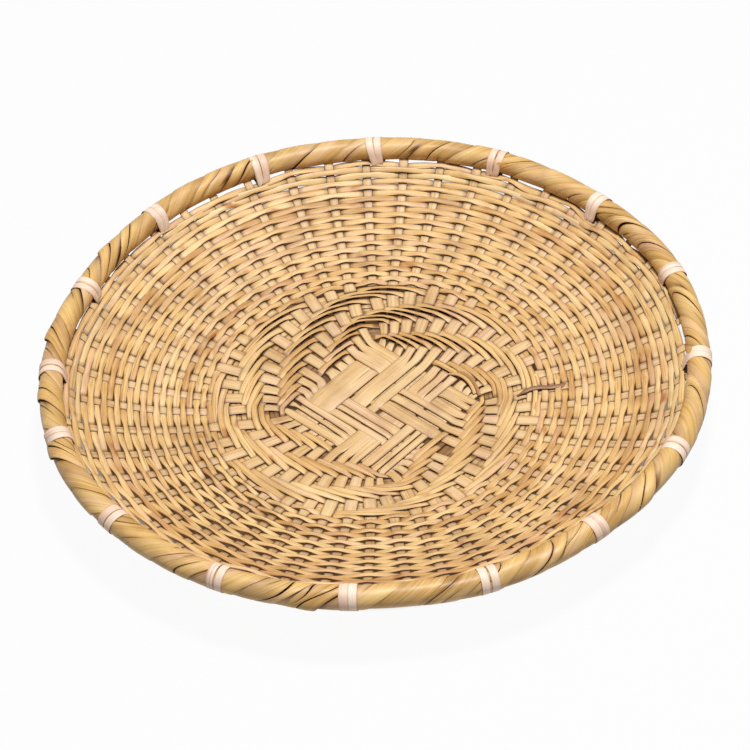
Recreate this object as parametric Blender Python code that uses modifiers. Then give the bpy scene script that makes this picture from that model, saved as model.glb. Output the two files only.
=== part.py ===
"""A round, shallow tray basket of split bamboo, built the way it is woven.

Eight wide strips cross as a twill in the middle of the base. Each end of a strip is split into three stakes,
which fan out and rise as the wall. Thin weavers run round the stakes in one clockwise spiral: over three and
under three on the base, over one and under one on the wall. The rim is a round hoop, wound with two wide
strips, and sixteen ties bind it to the top of the weave.

Lengths are in metres. The basket stands on the undersides of its base strips, at Z = 0, with its middle on
the Z axis.
"""

import math

import bmesh
import bpy
from mathutils import Vector

# Counts
STRIPS_EACH_WAY = 4
STAKES_PER_END = 3
SIDES = 4
SLOTS = STRIPS_EACH_WAY * STAKES_PER_END
LEFT_OUT = (3, 5)  # side and slot of the one arm that is cut away, so that the number of stakes is odd
TWILL_FLOAT = 3  # stakes that a weaver passes at a time, over or under, on the base
ROUNDS_PER_WEAVER = 3  # about as many times as one weaver reaches round the basket
TIES = 16
FIRST_TIE = 3 / 2  # its place, counted in stakes from the first stake
TIE_TURNS = 2
WRAP_STRIPS = 2
WRAP_TURNS = 24
WRAP_POINTS = 7  # points in one turn of a wrapping strip
ROLL_POINTS = 5  # points of a tie's loop that lie on the rim

# Angles
BASE_TURN = math.radians(45.0)  # the first set of base strips runs this way from +X
FIRST_STAKE = math.radians(5.3)

# The air between pieces that touch on the real basket
CLEARANCE = 0.0003

# Base strips and stakes
STRIP_PITCH = 0.016
STRIP_GAP = 0.0012
STRIP_THICKNESS = 0.0006
STAKE_WIDTH = 0.0052
SPLIT_GAP = 0.0014
SPLIT_DEPTH = 0.010
EDGE_RAMP = 0.0012

# Bowl
SQUARE_X = 0.0025  # the middle of the woven square, which lies a little off the rim's
SQUARE_Y = -0.0023
BASE_RISE = 0.0004  # of the stakes where they leave the strips, above the middle of the woven square
TWILL_RADIUS = 0.078
TWILL_RISE = 0.0042
WALL_INSET = 0.0053  # of the top of the weave, inside the rim's centre line
WALL_DROP = 0.0069  # of the top of the weave, below that line

# Weavers
BASE_PITCH = 0.0031  # least distance from one round of the weaver to the next, on a side of the base
TOP_PITCH = 0.0029  # the same on the wall
WEAVER_THICKNESS = 0.0005
TWILL_GAP = 0.0006
WALL_GAP = 0.0004
TIE_SLOT = 0.0013

# Rim
RIM_RADIUS = 0.1493
RIM_HEIGHT = 0.0325
ROLL_RADIUS = 0.0056
WRAP_THICKNESS = 0.0006
WRAP_GAP = 0.0008

# Ties
TIE_WIDTH = 0.0038
TIE_THICKNESS = 0.0004
TIE_GAP = 0.0004

# Shares: where a change of form happens, as a part of the size that it belongs to
RAMP_share = 0.6  # of the gap between two strips, taken by the step from over to under
SPLIT_OPEN_share = 0.5  # of the split's full gap, reached at the edge of the woven square
FULL_WIDTH_share = 0.35  # of the way across the base twill, where a stake has its full width
TWILL_START_share = 0.02  # of the way across the base twill, kept free inside the first round
RAMP_INSET_share = 0.12  # of the gap between two stakes, kept free on each side of a weaver's step
WALL_KNOT_shares = (0.0, 0.25, 0.5, 0.75, 1.0)  # radii where the wall's line bends
WALL_CONE_share = 0.3  # of the wall's rise, that is a straight cone. The rest curves up
WALL_CURVE = 1.8  # power of that curve

# What follows from the sizes above
STRIP_WIDTH = STRIP_PITCH - STRIP_GAP
COLUMN = STRIP_WIDTH / STAKES_PER_END
SLOT_PITCH = STRIP_PITCH / STAKES_PER_END
LEVEL = (STRIP_THICKNESS + CLEARANCE) / 2
MIDDLE_Z = LEVEL + STRIP_THICKNESS / 2
SQUARE_HALF = STRIPS_EACH_WAY * STRIP_PITCH / 2 - STRIP_GAP / 2
ROOT = SQUARE_HALF + EDGE_RAMP
ROOT_Z = MIDDLE_Z + BASE_RISE
TWILL_Z = ROOT_Z + TWILL_RISE
WALL_TOP_RADIUS = RIM_RADIUS - WALL_INSET
WALL_RISE = RIM_HEIGHT - WALL_DROP - TWILL_Z
ROOT_WIDTH = SLOT_PITCH - SPLIT_GAP
OVER_BASE = STRIP_THICKNESS / 2 + CLEARANCE
STAKES = [(side, slot) for side in range(SIDES) for slot in range(SLOTS) if (side, slot) != LEFT_OUT]
COUNT = len(STAKES)
STAKE_STEP = 2 * math.pi / COUNT
TWILL_ROUNDS = int((TWILL_RADIUS - ROOT) * (1 - TWILL_START_share) / BASE_PITCH) - 1
TWILL_LENGTHS = round(TWILL_ROUNDS / ROUNDS_PER_WEAVER)


def on_side(side, along, across):
    """Plan position from a side of the woven square: outwards from the middle, and anticlockwise along it."""
    turn = BASE_TURN + side * math.pi / 2
    return Vector((
        SQUARE_X + along * math.cos(turn) - across * math.sin(turn),
        SQUARE_Y + along * math.sin(turn) + across * math.cos(turn),
        0,
    ))


def slot_across(slot):
    return (slot - (SLOTS - 1) / 2) * SLOT_PITCH


def polar(radius, angle, height=0.0):
    return Vector((radius * math.cos(angle), radius * math.sin(angle), height))


def stake_angle(number):
    return FIRST_STAKE + number * STAKE_STEP


def root_point(number):
    """Where a stake leaves the woven square. Between two whole numbers it is on the line between their roots."""
    low = math.floor(number)
    a, b = (on_side(side, ROOT, slot_across(slot)) for side, slot in (STAKES[low % COUNT], STAKES[(low + 1) % COUNT]))
    return a.lerp(b, number - low)


def base_point(share, number):
    """A point of the base twill: share 0 is at the woven square and 1 at the foot of the wall."""
    point = root_point(number).lerp(polar(TWILL_RADIUS, stake_angle(number)), share)
    point.z = ROOT_Z + (TWILL_Z - ROOT_Z) * share
    return point


def base_reach(number):
    """How far it is across the base twill at this stake."""
    return (base_point(1, number) - base_point(0, number)).length


def stake_half(share, number):
    """Half of a stake's width on the base, counted in stakes."""
    low = math.floor(number)
    pitch = (base_point(share, low + 1) - base_point(share, low)).length
    narrow = (STAKE_WIDTH - ROOT_WIDTH) * min(share / FULL_WIDTH_share, 1)
    return (ROOT_WIDTH + narrow) / pitch / 2


def wall_line():
    """The wall's line from its foot to its top, as (radius, height) points."""
    points = []
    for share in WALL_KNOT_shares:
        rise = WALL_CONE_share * share + (1 - WALL_CONE_share) * share**WALL_CURVE
        points.append(Vector((
            TWILL_RADIUS + (WALL_TOP_RADIUS - TWILL_RADIUS) * share,
            TWILL_Z + WALL_RISE * rise,
        )))
    return points


WALL_LINE = wall_line()
WALL_LENGTH = sum((b - a).length for a, b in zip(WALL_LINE, WALL_LINE[1:]))
RIM_CENTRE = Vector((RIM_RADIUS, RIM_HEIGHT))


def on_wall(length):
    """(point, normal) at this length up the wall's line. The normal points into the bowl."""
    for a, b in zip(WALL_LINE, WALL_LINE[1:]):
        step = b - a
        if length <= step.length or b == WALL_LINE[-1]:
            way = step.normalized()
            return a + way * length, Vector((-way.y, way.x))
        length -= step.length


# A wrapping strip is straight across its width, so it stands this far off a round that follows the rim's curve.
WRAP_BULGE = RIM_RADIUS * (1 - math.cos(math.pi / WRAP_TURNS / WRAP_STRIPS))
WALL_ROUNDS = int((WALL_LENGTH - TIE_SLOT) / TOP_PITCH)
WALL_LENGTHS = round(WALL_ROUNDS / ROUNDS_PER_WEAVER)
WALL_PITCH = (WALL_LENGTH - TIE_SLOT) / (WALL_ROUNDS + 1 / 2)
WALL_WEAVER_WIDTH = WALL_PITCH - WALL_GAP


def new_material(name, colour, roughness):
    material = bpy.data.materials.new(name)
    material.use_nodes = True
    shader = material.node_tree.nodes["Principled BSDF"]
    shader.inputs["Base Color"].default_value = (*colour, 1)
    shader.inputs["Roughness"].default_value = roughness
    material.diffuse_color = (*colour, 1)
    return material


def add_object(bm, name, material, parts):
    bmesh.ops.recalc_face_normals(bm, faces=bm.faces)
    mesh = bpy.data.meshes.new(name)
    bm.to_mesh(mesh)
    bm.free()
    mesh.materials.append(material)
    thing = bpy.data.objects.new(name, mesh)
    parts.objects.link(thing)
    return thing


def sweep(name, sections, material, parts):
    """One closed body: the first section is extruded to each of the others in turn."""
    bm = bmesh.new()
    face = bm.faces.new([bm.verts.new(point) for point in sections[0]])
    for section in sections[1:]:
        face = bmesh.ops.extrude_discrete_faces(bm, faces=[face])["faces"][0]
        for vert, point in zip(face.verts, section):
            vert.co = point
    bmesh.ops.holes_fill(bm, edges=bm.edges[:], sides=len(sections[0]))
    return add_object(bm, name, material, parts)


def join_rows(bm, first, second):
    for a, b, c, d in zip(first, second, second[1:], first[1:]):
        bm.faces.new((a, b, c, d))


def first_set_on_top(row, column):
    """Whether the strip of the first set is the upper one, where row counts those strips and column the others."""
    return (column - row - 1) % STRIPS_EACH_WAY < STRIPS_EACH_WAY / 2


def strip_levels(way, place):
    """1 where the strip is the upper one and -1 where it is the lower one, at each crossing along it."""
    last = STRIPS_EACH_WAY - 1
    if way == 0:
        return [1 if first_set_on_top(last - place, k) else -1 for k in range(STRIPS_EACH_WAY)]
    return [-1 if first_set_on_top(last - k, last - place) else 1 for k in range(STRIPS_EACH_WAY)]


def level_z(level):
    return MIDDLE_Z + level * LEVEL


def strip_rows(levels):
    """(distance along the strip, height) of the rows across its unsplit middle."""
    reach = SQUARE_HALF - SPLIT_DEPTH
    rows = [(-reach, level_z(levels[0]))]
    for k in range(STRIPS_EACH_WAY - 1):
        if levels[k] != levels[k + 1]:
            boundary = (k + 1 - STRIPS_EACH_WAY / 2) * STRIP_PITCH
            half = STRIP_GAP * RAMP_share / 2
            rows += [(boundary - half, level_z(levels[k])), (boundary + half, level_z(levels[k + 1]))]
    return rows + [(reach, level_z(levels[-1]))]


def stake_rows(number, edge_across, edge_z):
    """The two edges of a stake, row by row, from the edge of the woven square to under the rim."""
    side = STAKES[number][0]
    half = (COLUMN - SPLIT_GAP * SPLIT_OPEN_share) / 2
    rows = []
    for across in (edge_across - half, edge_across + half):
        point = on_side(side, SQUARE_HALF + CLEARANCE, across)
        point.z = edge_z
        rows.append(point)
    rows = [rows]
    for share in (0.0, FULL_WIDTH_share, 1.0):
        wide = stake_half(share, number)
        rows.append([base_point(share, number - wide), base_point(share, number + wide)])
    angle = stake_angle(number)
    sideways = Vector((-math.sin(angle), math.cos(angle), 0)) * STAKE_WIDTH / 2
    to_rim = RIM_CENTRE - WALL_LINE[-1]
    end = RIM_CENTRE - to_rim.normalized() * (ROLL_RADIUS + STRIP_THICKNESS + CLEARANCE)
    for radius, height in [*WALL_LINE[1:], end]:
        centre = polar(radius, angle, height)
        rows.append([centre - sideways, centre + sideways])
    return rows


def base_strip(way, place, material, parts):
    """One wide strip, with the stakes that it is split into at both ends."""
    bm = bmesh.new()
    levels = strip_levels(way, place)
    middle = (place - (STRIPS_EACH_WAY - 1) / 2) * STRIP_PITCH
    joined = []
    for along, height in strip_rows(levels):
        row = []
        for edge in range(STAKES_PER_END + 1):
            point = on_side(way, along, middle + (edge - STAKES_PER_END / 2) * COLUMN)
            point.z = height
            row.append(bm.verts.new(point))
        joined.append(row)
    for first, second in zip(joined, joined[1:]):
        join_rows(bm, first, second)
    ends = ((way, place, middle, levels[-1], joined[-1]),
            (way + 2, STRIPS_EACH_WAY - 1 - place, -middle, levels[0], joined[0][::-1]))
    for side, order, across, level, row in ends:
        for arm in range(STAKES_PER_END):
            slot = order * STAKES_PER_END + arm
            if (side, slot) == LEFT_OUT:
                continue
            edge_across = across + (arm - (STAKES_PER_END - 1) / 2) * COLUMN
            last = row[arm:arm + 2]
            for points in stake_rows(STAKES.index((side, slot)), edge_across, level_z(level)):
                new = [bm.verts.new(point) for point in points]
                join_rows(bm, last, new)
                last = new
    strip = add_object(bm, f"base_strip_{way * STRIPS_EACH_WAY + place + 1}", material, parts)
    thickness = strip.modifiers.new("Thickness", "SOLIDIFY")
    thickness.thickness = STRIP_THICKNESS
    thickness.offset = 0
    thickness.use_even_offset = True
    return strip


def weaver_section(low, middle, high, normal, base):
    """A flat inner side and a ridge above it, standing off the stakes' middle surface."""
    return [low + normal * base, high + normal * base, middle + normal * (base + WEAVER_THICKNESS)]


def twill_section(step, over):
    """The base weaver's section at this many stakes from its start. It runs clockwise and outwards."""
    pitch_share = (1 - TWILL_START_share) / (TWILL_ROUNDS + 1)
    share = TWILL_START_share + pitch_share / 2 + pitch_share * step / COUNT
    half = (pitch_share - TWILL_GAP / base_reach(-step)) / 2
    base = OVER_BASE if over else -OVER_BASE - WEAVER_THICKNESS
    low, middle, high = (base_point(share + side * half, -step) for side in (-1, 0, 1))
    return weaver_section(low, middle, high, Vector((0, 0, 1)), base)


def twill_ramp(step):
    """Half of the way that the weaver takes through the gap after this stake, counted in stakes."""
    share = TWILL_START_share + (1 - TWILL_START_share) * step / COUNT / (TWILL_ROUNDS + 1)
    number = -step - 1
    free = 1 - stake_half(share, number) - stake_half(share, number + 1)
    return free * (1 / 2 - RAMP_INSET_share)


def twill_weaver(length, material, parts):
    total = TWILL_ROUNDS * COUNT
    joins = [round(total * k / TWILL_LENGTHS / TWILL_FLOAT / 2) * TWILL_FLOAT * 2 + TWILL_FLOAT + 1
             for k in range(1, TWILL_LENGTHS)]
    first, last = ([1, *joins][length], [*joins, total - 1][length])
    sections = []
    for step in range(first, last + 1):
        over = step // TWILL_FLOAT % 2 == 0
        at_corner = len({STAKES[(near - step) % COUNT][0] for near in (-1, 0, 1)}) > 1
        if step % TWILL_FLOAT == 1 or at_corner or step in (first, last):
            pitch = (base_point(1 / 2, 1 - step) - base_point(1 / 2, -step)).length
            shift = CLEARANCE / pitch * ((step == first) - (step == last))
            sections.append(twill_section(step + shift, over))
        if step < last and (step + 1) // TWILL_FLOAT % 2 != step // TWILL_FLOAT % 2:
            ramp = twill_ramp(step)
            sections.append(twill_section(step + 1 / 2 - ramp, over))
            sections.append(twill_section(step + 1 / 2 + ramp, not over))
    return sweep(f"base_weaver_{length + 1}", sections, material, parts)


def wall_height(step):
    """The length up the wall's line at this many stakes from the weaver's start, with the slot for the ties."""
    return WALL_PITCH * step / COUNT + (TIE_SLOT if step > (WALL_ROUNDS - 1) * COUNT else 0)


def wall_lift(radius):
    """How far the weaver's flat side stands off the stakes' middle surface, so that it clears their edges."""
    edge = STAKE_WIDTH / 2 / (radius * STAKE_STEP)
    return (OVER_BASE + WEAVER_THICKNESS * edge) / (1 - 2 * edge)


def wall_section(step):
    """The wall weaver's section where it passes a stake, over an even one and under an odd one."""
    length = wall_height(step)
    angle = stake_angle(-step)
    (middle, normal), (low, _), (high, _) = (
        on_wall(length + side * WALL_WEAVER_WIDTH / 2) for side in (0, -1, 1)
    )
    lift = wall_lift(middle.x)
    base = lift if step % 2 == 0 else -lift - WEAVER_THICKNESS
    low, middle, high = (polar(point.x, angle, point.y) for point in (low, middle, high))
    return weaver_section(low, middle, high, polar(normal.x, angle, normal.y), base)


def wall_weaver(length, material, parts):
    total = WALL_ROUNDS * COUNT
    first, last = (round(total * k / WALL_LENGTHS) for k in (length, length + 1))
    sections = [wall_section(step) for step in range(first, last + 1)]
    for here, near in ((0, 1), (-1, -2)):
        pitch = (sections[near][0] - sections[here][0]).length
        sections[here] = [a.lerp(b, CLEARANCE / pitch) for a, b in zip(sections[here], sections[near])]
    return sweep(f"wall_weaver_{length + 1}", sections, material, parts)


def rim_point(along, around, radius):
    """A point round the rim's centre line: around is 0 on the outside and rises over the top to the inside."""
    return polar(RIM_RADIUS + radius * math.cos(around), along, RIM_HEIGHT + radius * math.sin(around))


def rim_core(material, parts):
    """The hoop that the strips are wound on, which stays inside the corners of their turns."""
    inner = (ROLL_RADIUS - WRAP_THICKNESS) * math.cos(math.pi / WRAP_POINTS) - WRAP_BULGE - CLEARANCE
    bpy.ops.mesh.primitive_torus_add(
        major_radius=RIM_RADIUS, minor_radius=inner, major_segments=COUNT, minor_segments=WRAP_POINTS,
        location=(0, 0, RIM_HEIGHT),
    )
    core = bpy.context.object
    core.name = core.data.name = "rim_core"
    core.data.materials.append(material)
    core.data.shade_smooth()
    for collection in core.users_collection:
        collection.objects.unlink(core)
    parts.objects.link(core)
    return core


def rim_wrap(number, material, parts):
    """One wide strip wound round the core all the way round the rim, beside the others."""
    share = 2 * math.pi / WRAP_TURNS / WRAP_STRIPS
    half = share / 2 - WRAP_GAP / RIM_RADIUS / 2
    count = WRAP_TURNS * WRAP_POINTS
    sections = []
    for k in range(count + 1):
        around = 2 * math.pi * k / WRAP_POINTS
        along = number * share + around / WRAP_TURNS
        inner = ROLL_RADIUS - WRAP_THICKNESS
        sections.append([
            rim_point(along - half, around, inner),
            rim_point(along + half, around, inner),
            rim_point(along + half, around, ROLL_RADIUS),
            rim_point(along - half, around, ROLL_RADIUS),
        ])
    ends = CLEARANCE / (2 * math.pi * ROLL_RADIUS / WRAP_POINTS)
    sections[0] = [a.lerp(b, ends) for a, b in zip(sections[0], sections[1])]
    sections[-1] = [a.lerp(b, ends) for a, b in zip(sections[-1], sections[-2])]
    return sweep(f"rim_wrap_{number + 1}", sections, material, parts)


def grown(outline, distance):
    """A closed convex outline, anticlockwise, moved outwards by this distance with sharp corners."""
    moved = []
    for before, here, after in zip(outline[-1:] + outline[:-1], outline, outline[1:] + outline[:1]):
        normals = [Vector((way.y, -way.x)).normalized() for way in (here - before, after - here)]
        middle = (normals[0] + normals[1]).normalized()
        moved.append(here + middle * distance / middle.dot(normals[0]))
    return moved


def tangent_angle(point, radius, way):
    """Where a line from this point just touches a circle round the rim's centre, seen from that centre."""
    out = point - RIM_CENTRE
    return math.atan2(out.y, out.x) + way * math.acos(radius / out.length)


def tie_outline(gap_number):
    """A tie's loop in its radial plane: out through the slot in the weave, over the rim and back in."""
    step = WALL_ROUNDS * COUNT - gap_number
    length = wall_height(step) - (WALL_PITCH + TIE_SLOT) / 2
    slot, normal = on_wall(length)
    lift = wall_lift(slot.x) + WEAVER_THICKNESS
    outer, inner = slot - normal * lift, slot + normal * lift
    radius = ROLL_RADIUS + WRAP_BULGE + CLEARANCE
    start = tangent_angle(outer, radius, 1)
    end = tangent_angle(inner, radius, -1) + 2 * math.pi
    step = (end - start) / ROLL_POINTS
    outline = [outer]
    for k in range(ROLL_POINTS):
        turn = start + step * (k + 1 / 2)
        outline.append(RIM_CENTRE + Vector((math.cos(turn), math.sin(turn))) * radius / math.cos(step / 2))
    return outline + [inner]


def tie(number, material, parts):
    """One band wound round the rim and the last round of the weave, in a gap between two stakes."""
    gap_number = math.ceil(number * COUNT / TIES - 1 / 2) + FIRST_TIE
    angle = stake_angle(gap_number)
    inside = tie_outline(gap_number)
    outside = grown(inside, TIE_THICKNESS)
    count = len(inside)
    sideways = Vector((-math.sin(angle), math.cos(angle), 0))
    pitch = TIE_WIDTH + TIE_GAP
    sections = []
    for k in range(TIE_TURNS * count):
        middle = (k / count - TIE_TURNS / 2) * pitch
        near, far = (polar(loop[k % count].x, angle, loop[k % count].y) for loop in (inside, outside))
        left, right = (sideways * (middle + side * TIE_WIDTH / 2) for side in (-1, 1))
        sections.append([near + left, near + right, far + right, far + left])
    return sweep(f"rim_tie_{number + 1:02d}", sections, material, parts)


def main():
    for thing in list(bpy.data.objects):
        bpy.data.objects.remove(thing)
    parts = bpy.data.collections.new("bamboo_basket")
    bpy.context.scene.collection.children.link(parts)
    stake_bamboo = new_material("stake_bamboo", (0.76, 0.56, 0.32), 0.5)
    weaver_bamboo = new_material("weaver_bamboo", (0.80, 0.60, 0.34), 0.5)
    core_bamboo = new_material("core_bamboo", (0.62, 0.45, 0.24), 0.6)
    wrap_bamboo = new_material("wrap_bamboo", (0.64, 0.46, 0.21), 0.45)
    tie_bamboo = new_material("tie_bamboo", (0.91, 0.76, 0.62), 0.55)
    for way in range(2):
        for place in range(STRIPS_EACH_WAY):
            base_strip(way, place, stake_bamboo, parts)
    for length in range(TWILL_LENGTHS):
        twill_weaver(length, weaver_bamboo, parts)
    for length in range(WALL_LENGTHS):
        wall_weaver(length, weaver_bamboo, parts)
    rim_core(core_bamboo, parts)
    for number in range(WRAP_STRIPS):
        rim_wrap(number, wrap_bamboo, parts)
    for number in range(TIES):
        tie(number, tie_bamboo, parts)


main()
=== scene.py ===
# %% [markdown]
# # A shallow tray basket of split bamboo
#
# The basket is woven, so it is modelled as it is woven: every strip of bamboo is its own thin ribbon of mesh
# that goes over and under the strips it meets. The measured model is loaded first. It fixes the size and the
# place of everything, and the ribbons built here stand in for its plainer solids.

import math

import bpy
import numpy as np
from mathutils import Matrix, Vector


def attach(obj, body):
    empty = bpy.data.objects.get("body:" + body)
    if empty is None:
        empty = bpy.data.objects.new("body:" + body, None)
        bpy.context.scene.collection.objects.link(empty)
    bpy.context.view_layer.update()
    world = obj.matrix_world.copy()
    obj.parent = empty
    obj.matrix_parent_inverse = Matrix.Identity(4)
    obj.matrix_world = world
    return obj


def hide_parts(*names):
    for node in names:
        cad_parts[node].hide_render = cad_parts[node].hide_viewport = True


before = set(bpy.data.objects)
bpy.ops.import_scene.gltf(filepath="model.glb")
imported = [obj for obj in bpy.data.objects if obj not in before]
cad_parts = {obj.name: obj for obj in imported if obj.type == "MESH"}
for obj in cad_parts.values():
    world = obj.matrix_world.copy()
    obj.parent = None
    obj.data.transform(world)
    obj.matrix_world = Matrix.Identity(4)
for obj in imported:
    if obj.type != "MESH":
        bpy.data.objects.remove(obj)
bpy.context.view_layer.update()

# %% [markdown]
# ## Sizes
#
# The sizes are the basket's own, in metres, and they are the same as in the measured model. Naming them once
# keeps each ribbon in step with its neighbours: the weavers ask the stakes where they are, and the rim asks
# the wall.

# %% Sizes of the basket
MM = 0.001

STRIPS_EACH_WAY = 4
ARMS = 3  # stakes that one end of a wide strip is split into
SLOTS = STRIPS_EACH_WAY * ARMS
LEFT_OUT = (3, 5)  # side and slot of the arm that is cut away, to make the number of stakes odd
BASE_TURN = math.radians(45)
FIRST_STAKE = math.radians(5.3)

STRIP_PITCH = 16 * MM
STRIP_THICK = 0.6 * MM
STAKE_WIDE = 5.2 * MM
LEVEL = 0.45 * MM  # of an upper strip above the middle of the woven square, and of a lower one below it
SQUARE_MIDDLE = np.array([2.5, -2.3]) * MM
SQUARE_HALF = 31.4 * MM
ROOT = 32.6 * MM  # from the middle of the square to where a stake leaves it
MIDDLE_Z = 0.75 * MM  # of the woven square's middle plane
ROOT_Z = 1.15 * MM  # of a stake where it leaves the square

TWILL_RADIUS = 78 * MM
TWILL_Z = 5.35 * MM
TWILL_ROUNDS = 13
TWILL_FLOAT = 3  # stakes that the base weaver passes at a time, over or under
TWILL_START = 0.02  # share of the way from the square to the wall that stays free of the weaver

RIM_RADIUS = 149.3 * MM
RIM_HEIGHT = 32.5 * MM
WALL_TOP_RADIUS = 144.0 * MM
WALL_TOP_Z = 25.6 * MM
WALL_ROUNDS = 23
WALL_CONE = 0.3  # share of its rise that the wall makes as a plain cone
WALL_CURVE = 1.8  # power of the curve that makes the rest

WEAVER_THICK = 0.5 * MM
ROLL_RADIUS = 5.6 * MM
TIES = 16
print("rim outside:", round(2 * (RIM_RADIUS + ROLL_RADIUS) / MM, 1), "mm across")

# %% [markdown]
# ## The strips of the middle
#
# The middle of the basket is a square of eight wide strips, four each way. Every end of a strip is split
# lengthwise in three, to make the stakes, and the splits run in under the other strips, some further than
# others. A strip that was cut by machine would need three numbers. Here each split gets its own few knots,
# because the uneven splits are what the eye finds first in the middle of the basket.

# %% How far the splits run
# For each strip, across it in mm: its right edge, the two splits and its left edge. Then, for both splits,
# how wide they stand open at some places along the strip, in mm.
SHUT = ((0, 0),)
STRIPS = {
    (0, 0): ((-30.2, -26.4, -22.9, -17.0), ((-32, 0.45), (-2, 0.38), (4, 0)),
             ((-32, 1.35), (-2, 0.9), (3, 0))),
    (0, 1): ((-15.9, -11.4, -6.9, -1.8), ((16, 0), (22, 0.75), (32, 1.2)), ((15, 0), (18, 0.22), (32, 0.45))),
    (0, 2): ((0.0, 5.6, 10.2, 15.6), ((-8, 0), (-4, 1.05), (32, 1.05)), ((28, 0), (32, 0.45))),
    (0, 3): ((16.0, 21.0, 25.6, 30.4), ((4, 0), (8, 0.15), (14, 0.15), (18, 0), (28, 0), (32, 0.45)), SHUT),
    (1, 0): ((-31.0, -26.6, -22.0, -16.0), ((-32, 0.6), (-26, 0)), ((-32, 1.49), (-20, 1.2), (-13, 0))),
    (1, 1): ((-16.0, -11.7, -6.0, 1.5), ((-32, 1.49), (-16, 1.2), (-2, 0.9), (3, 0)),
             ((-32, 1.38), (-16, 1.2), (-2, 0.75), (4, 0))),
    (1, 2): ((5.0, 10.4, 14.0, 18.4), ((-32, 0.3), (32, 0.18)),
             ((-20, 0.15), (-15, 0.75), (12, 0.75), (17, 0.15))),
    (1, 3): ((18.6, 23.0, 26.6, 32.0), ((-2, 0), (2, 0.45), (14, 1.15), (32, 1.84)),
             ((-1, 0), (3, 0.45), (14, 1.49), (32, 2.3))),
}


def band_edges(way, place, arm, along):
    """The right and the left edge of one third of a strip, and how far it stands off its two neighbours."""
    edges, *openings = STRIPS[way, place]
    shut = 0 * along
    gaps = [shut, *(np.interp(along / MM, *np.array(knots, float).T) * MM for knots in openings), shut]
    return edges[arm] * MM + gaps[arm] / 2, edges[arm + 1] * MM - gaps[arm + 1] / 2, gaps[arm], gaps[arm + 1]


print(sum(len(knots) for _, *openings in STRIPS.values() for knots in openings), "knots for the splits")

# %% [markdown]
# ## Where the stakes stand
#
# The ends of the eight strips make 48 arms, and one of them is cut away. With an odd number of stakes one
# long weaver can spiral outwards and still change from over to under each time it comes round. The stakes are
# counted anticlockwise, and any place between two of them has a fractional number.

# %% The slots round the woven square
STAKES = [(side, slot) for side in range(4) for slot in range(SLOTS) if (side, slot) != LEFT_OUT]
COUNT = len(STAKES)
STEP = 2 * math.pi / COUNT


def on_side(side, along, across):
    """Plan position from a side of the woven square: outwards from its middle, and anticlockwise along it."""
    turn = BASE_TURN + side * math.pi / 2
    out = np.array([math.cos(turn), math.sin(turn)])
    left = np.array([-math.sin(turn), math.cos(turn)])
    return SQUARE_MIDDLE + np.multiply.outer(along, out) + np.multiply.outer(across, left)


def root_of(side, slot):
    """Where the stake in this slot leaves the square: between straight on and an even spacing."""
    order, arm = divmod(slot, ARMS)
    even = (slot - (SLOTS - 1) / 2) * STRIP_PITCH / ARMS
    if side < 2:
        right, left, *_ = band_edges(side, order, arm, np.array(SQUARE_HALF))
        return on_side(side, ROOT, (right + left) / 4 + even / 2)
    order, arm = STRIPS_EACH_WAY - 1 - order, ARMS - 1 - arm
    right, left, *_ = band_edges(side - 2, order, arm, np.array(-SQUARE_HALF))
    return on_side(side, ROOT, even / 2 - (right + left) / 4)


print(COUNT, "stakes, one every", round(360 / COUNT, 2), "degrees")

# %% Helpers for irregular and smooth lines
def wander(seed, places, wavelength, height):
    """A gentle irregular line, made of five waves and always the same for its seed."""
    rng = np.random.default_rng(seed)
    total = np.zeros(np.shape(places))
    for octave in range(5):
        phase, share = rng.uniform(0, 2 * math.pi), rng.uniform(0.6, 1.0)
        total += np.sin(2 * math.pi * np.asarray(places) * (1 + 0.63 * octave) / wavelength + phase) * share
    return height * total / 2


def smooth_step(value):
    """0 up to 0, 1 from 1 on, and smooth in between."""
    value = np.clip(value, 0, 1)
    return value * value * (3 - 2 * value)


def hump(places, middle, width, power=2):
    """1 in the middle, and falling to 0 over about this width. A power of 4 makes the top flatter."""
    return np.exp(-(((places - middle) / width) ** power))


def in_degrees(angle):
    return np.mod(np.degrees(angle), 360)


print("a line that wanders by 1 mm:", np.round(wander(1, np.arange(5), 7, 1.0), 2))

# %% The stakes' places
numbers = np.arange(COUNT)
ANGLES = FIRST_STAKE + numbers * STEP
ROOTS = np.array([root_of(side, slot) for side, slot in STAKES])
STRAIGHT_ON = np.array([on_side(side, 1, 0) - on_side(side, 0, 0) for side, _ in STAKES])
# Hand-set stakes are never quite evenly spaced. At the back they all lean a little clockwise.
LEAN_FOOT = np.radians(-1.2 * np.clip(np.sin(ANGLES), 0, 1) ** 2 + wander(3, numbers, 9.3, 0.5))
LEAN_TOP = np.radians(-1.0 * np.clip(np.sin(ANGLES), 0, 1) ** 2 + wander(4, numbers, 11.7, 0.6))


def between_stakes(table, number):
    """The table's value at any place round the basket, linear between the whole stake numbers."""
    low = np.floor(number).astype(int)
    part = np.asarray(number - low)
    part = part[..., None] if table.ndim == 2 else part
    return table[low % COUNT] * (1 - part) + table[(low + 1) % COUNT] * part


def bearing(number, share):
    """The angle round the basket of a stake number, at this share of the way up the wall."""
    lean = between_stakes(LEAN_FOOT, number) * (1 - share) + between_stakes(LEAN_TOP, number) * share
    return FIRST_STAKE + number * STEP + lean


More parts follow.
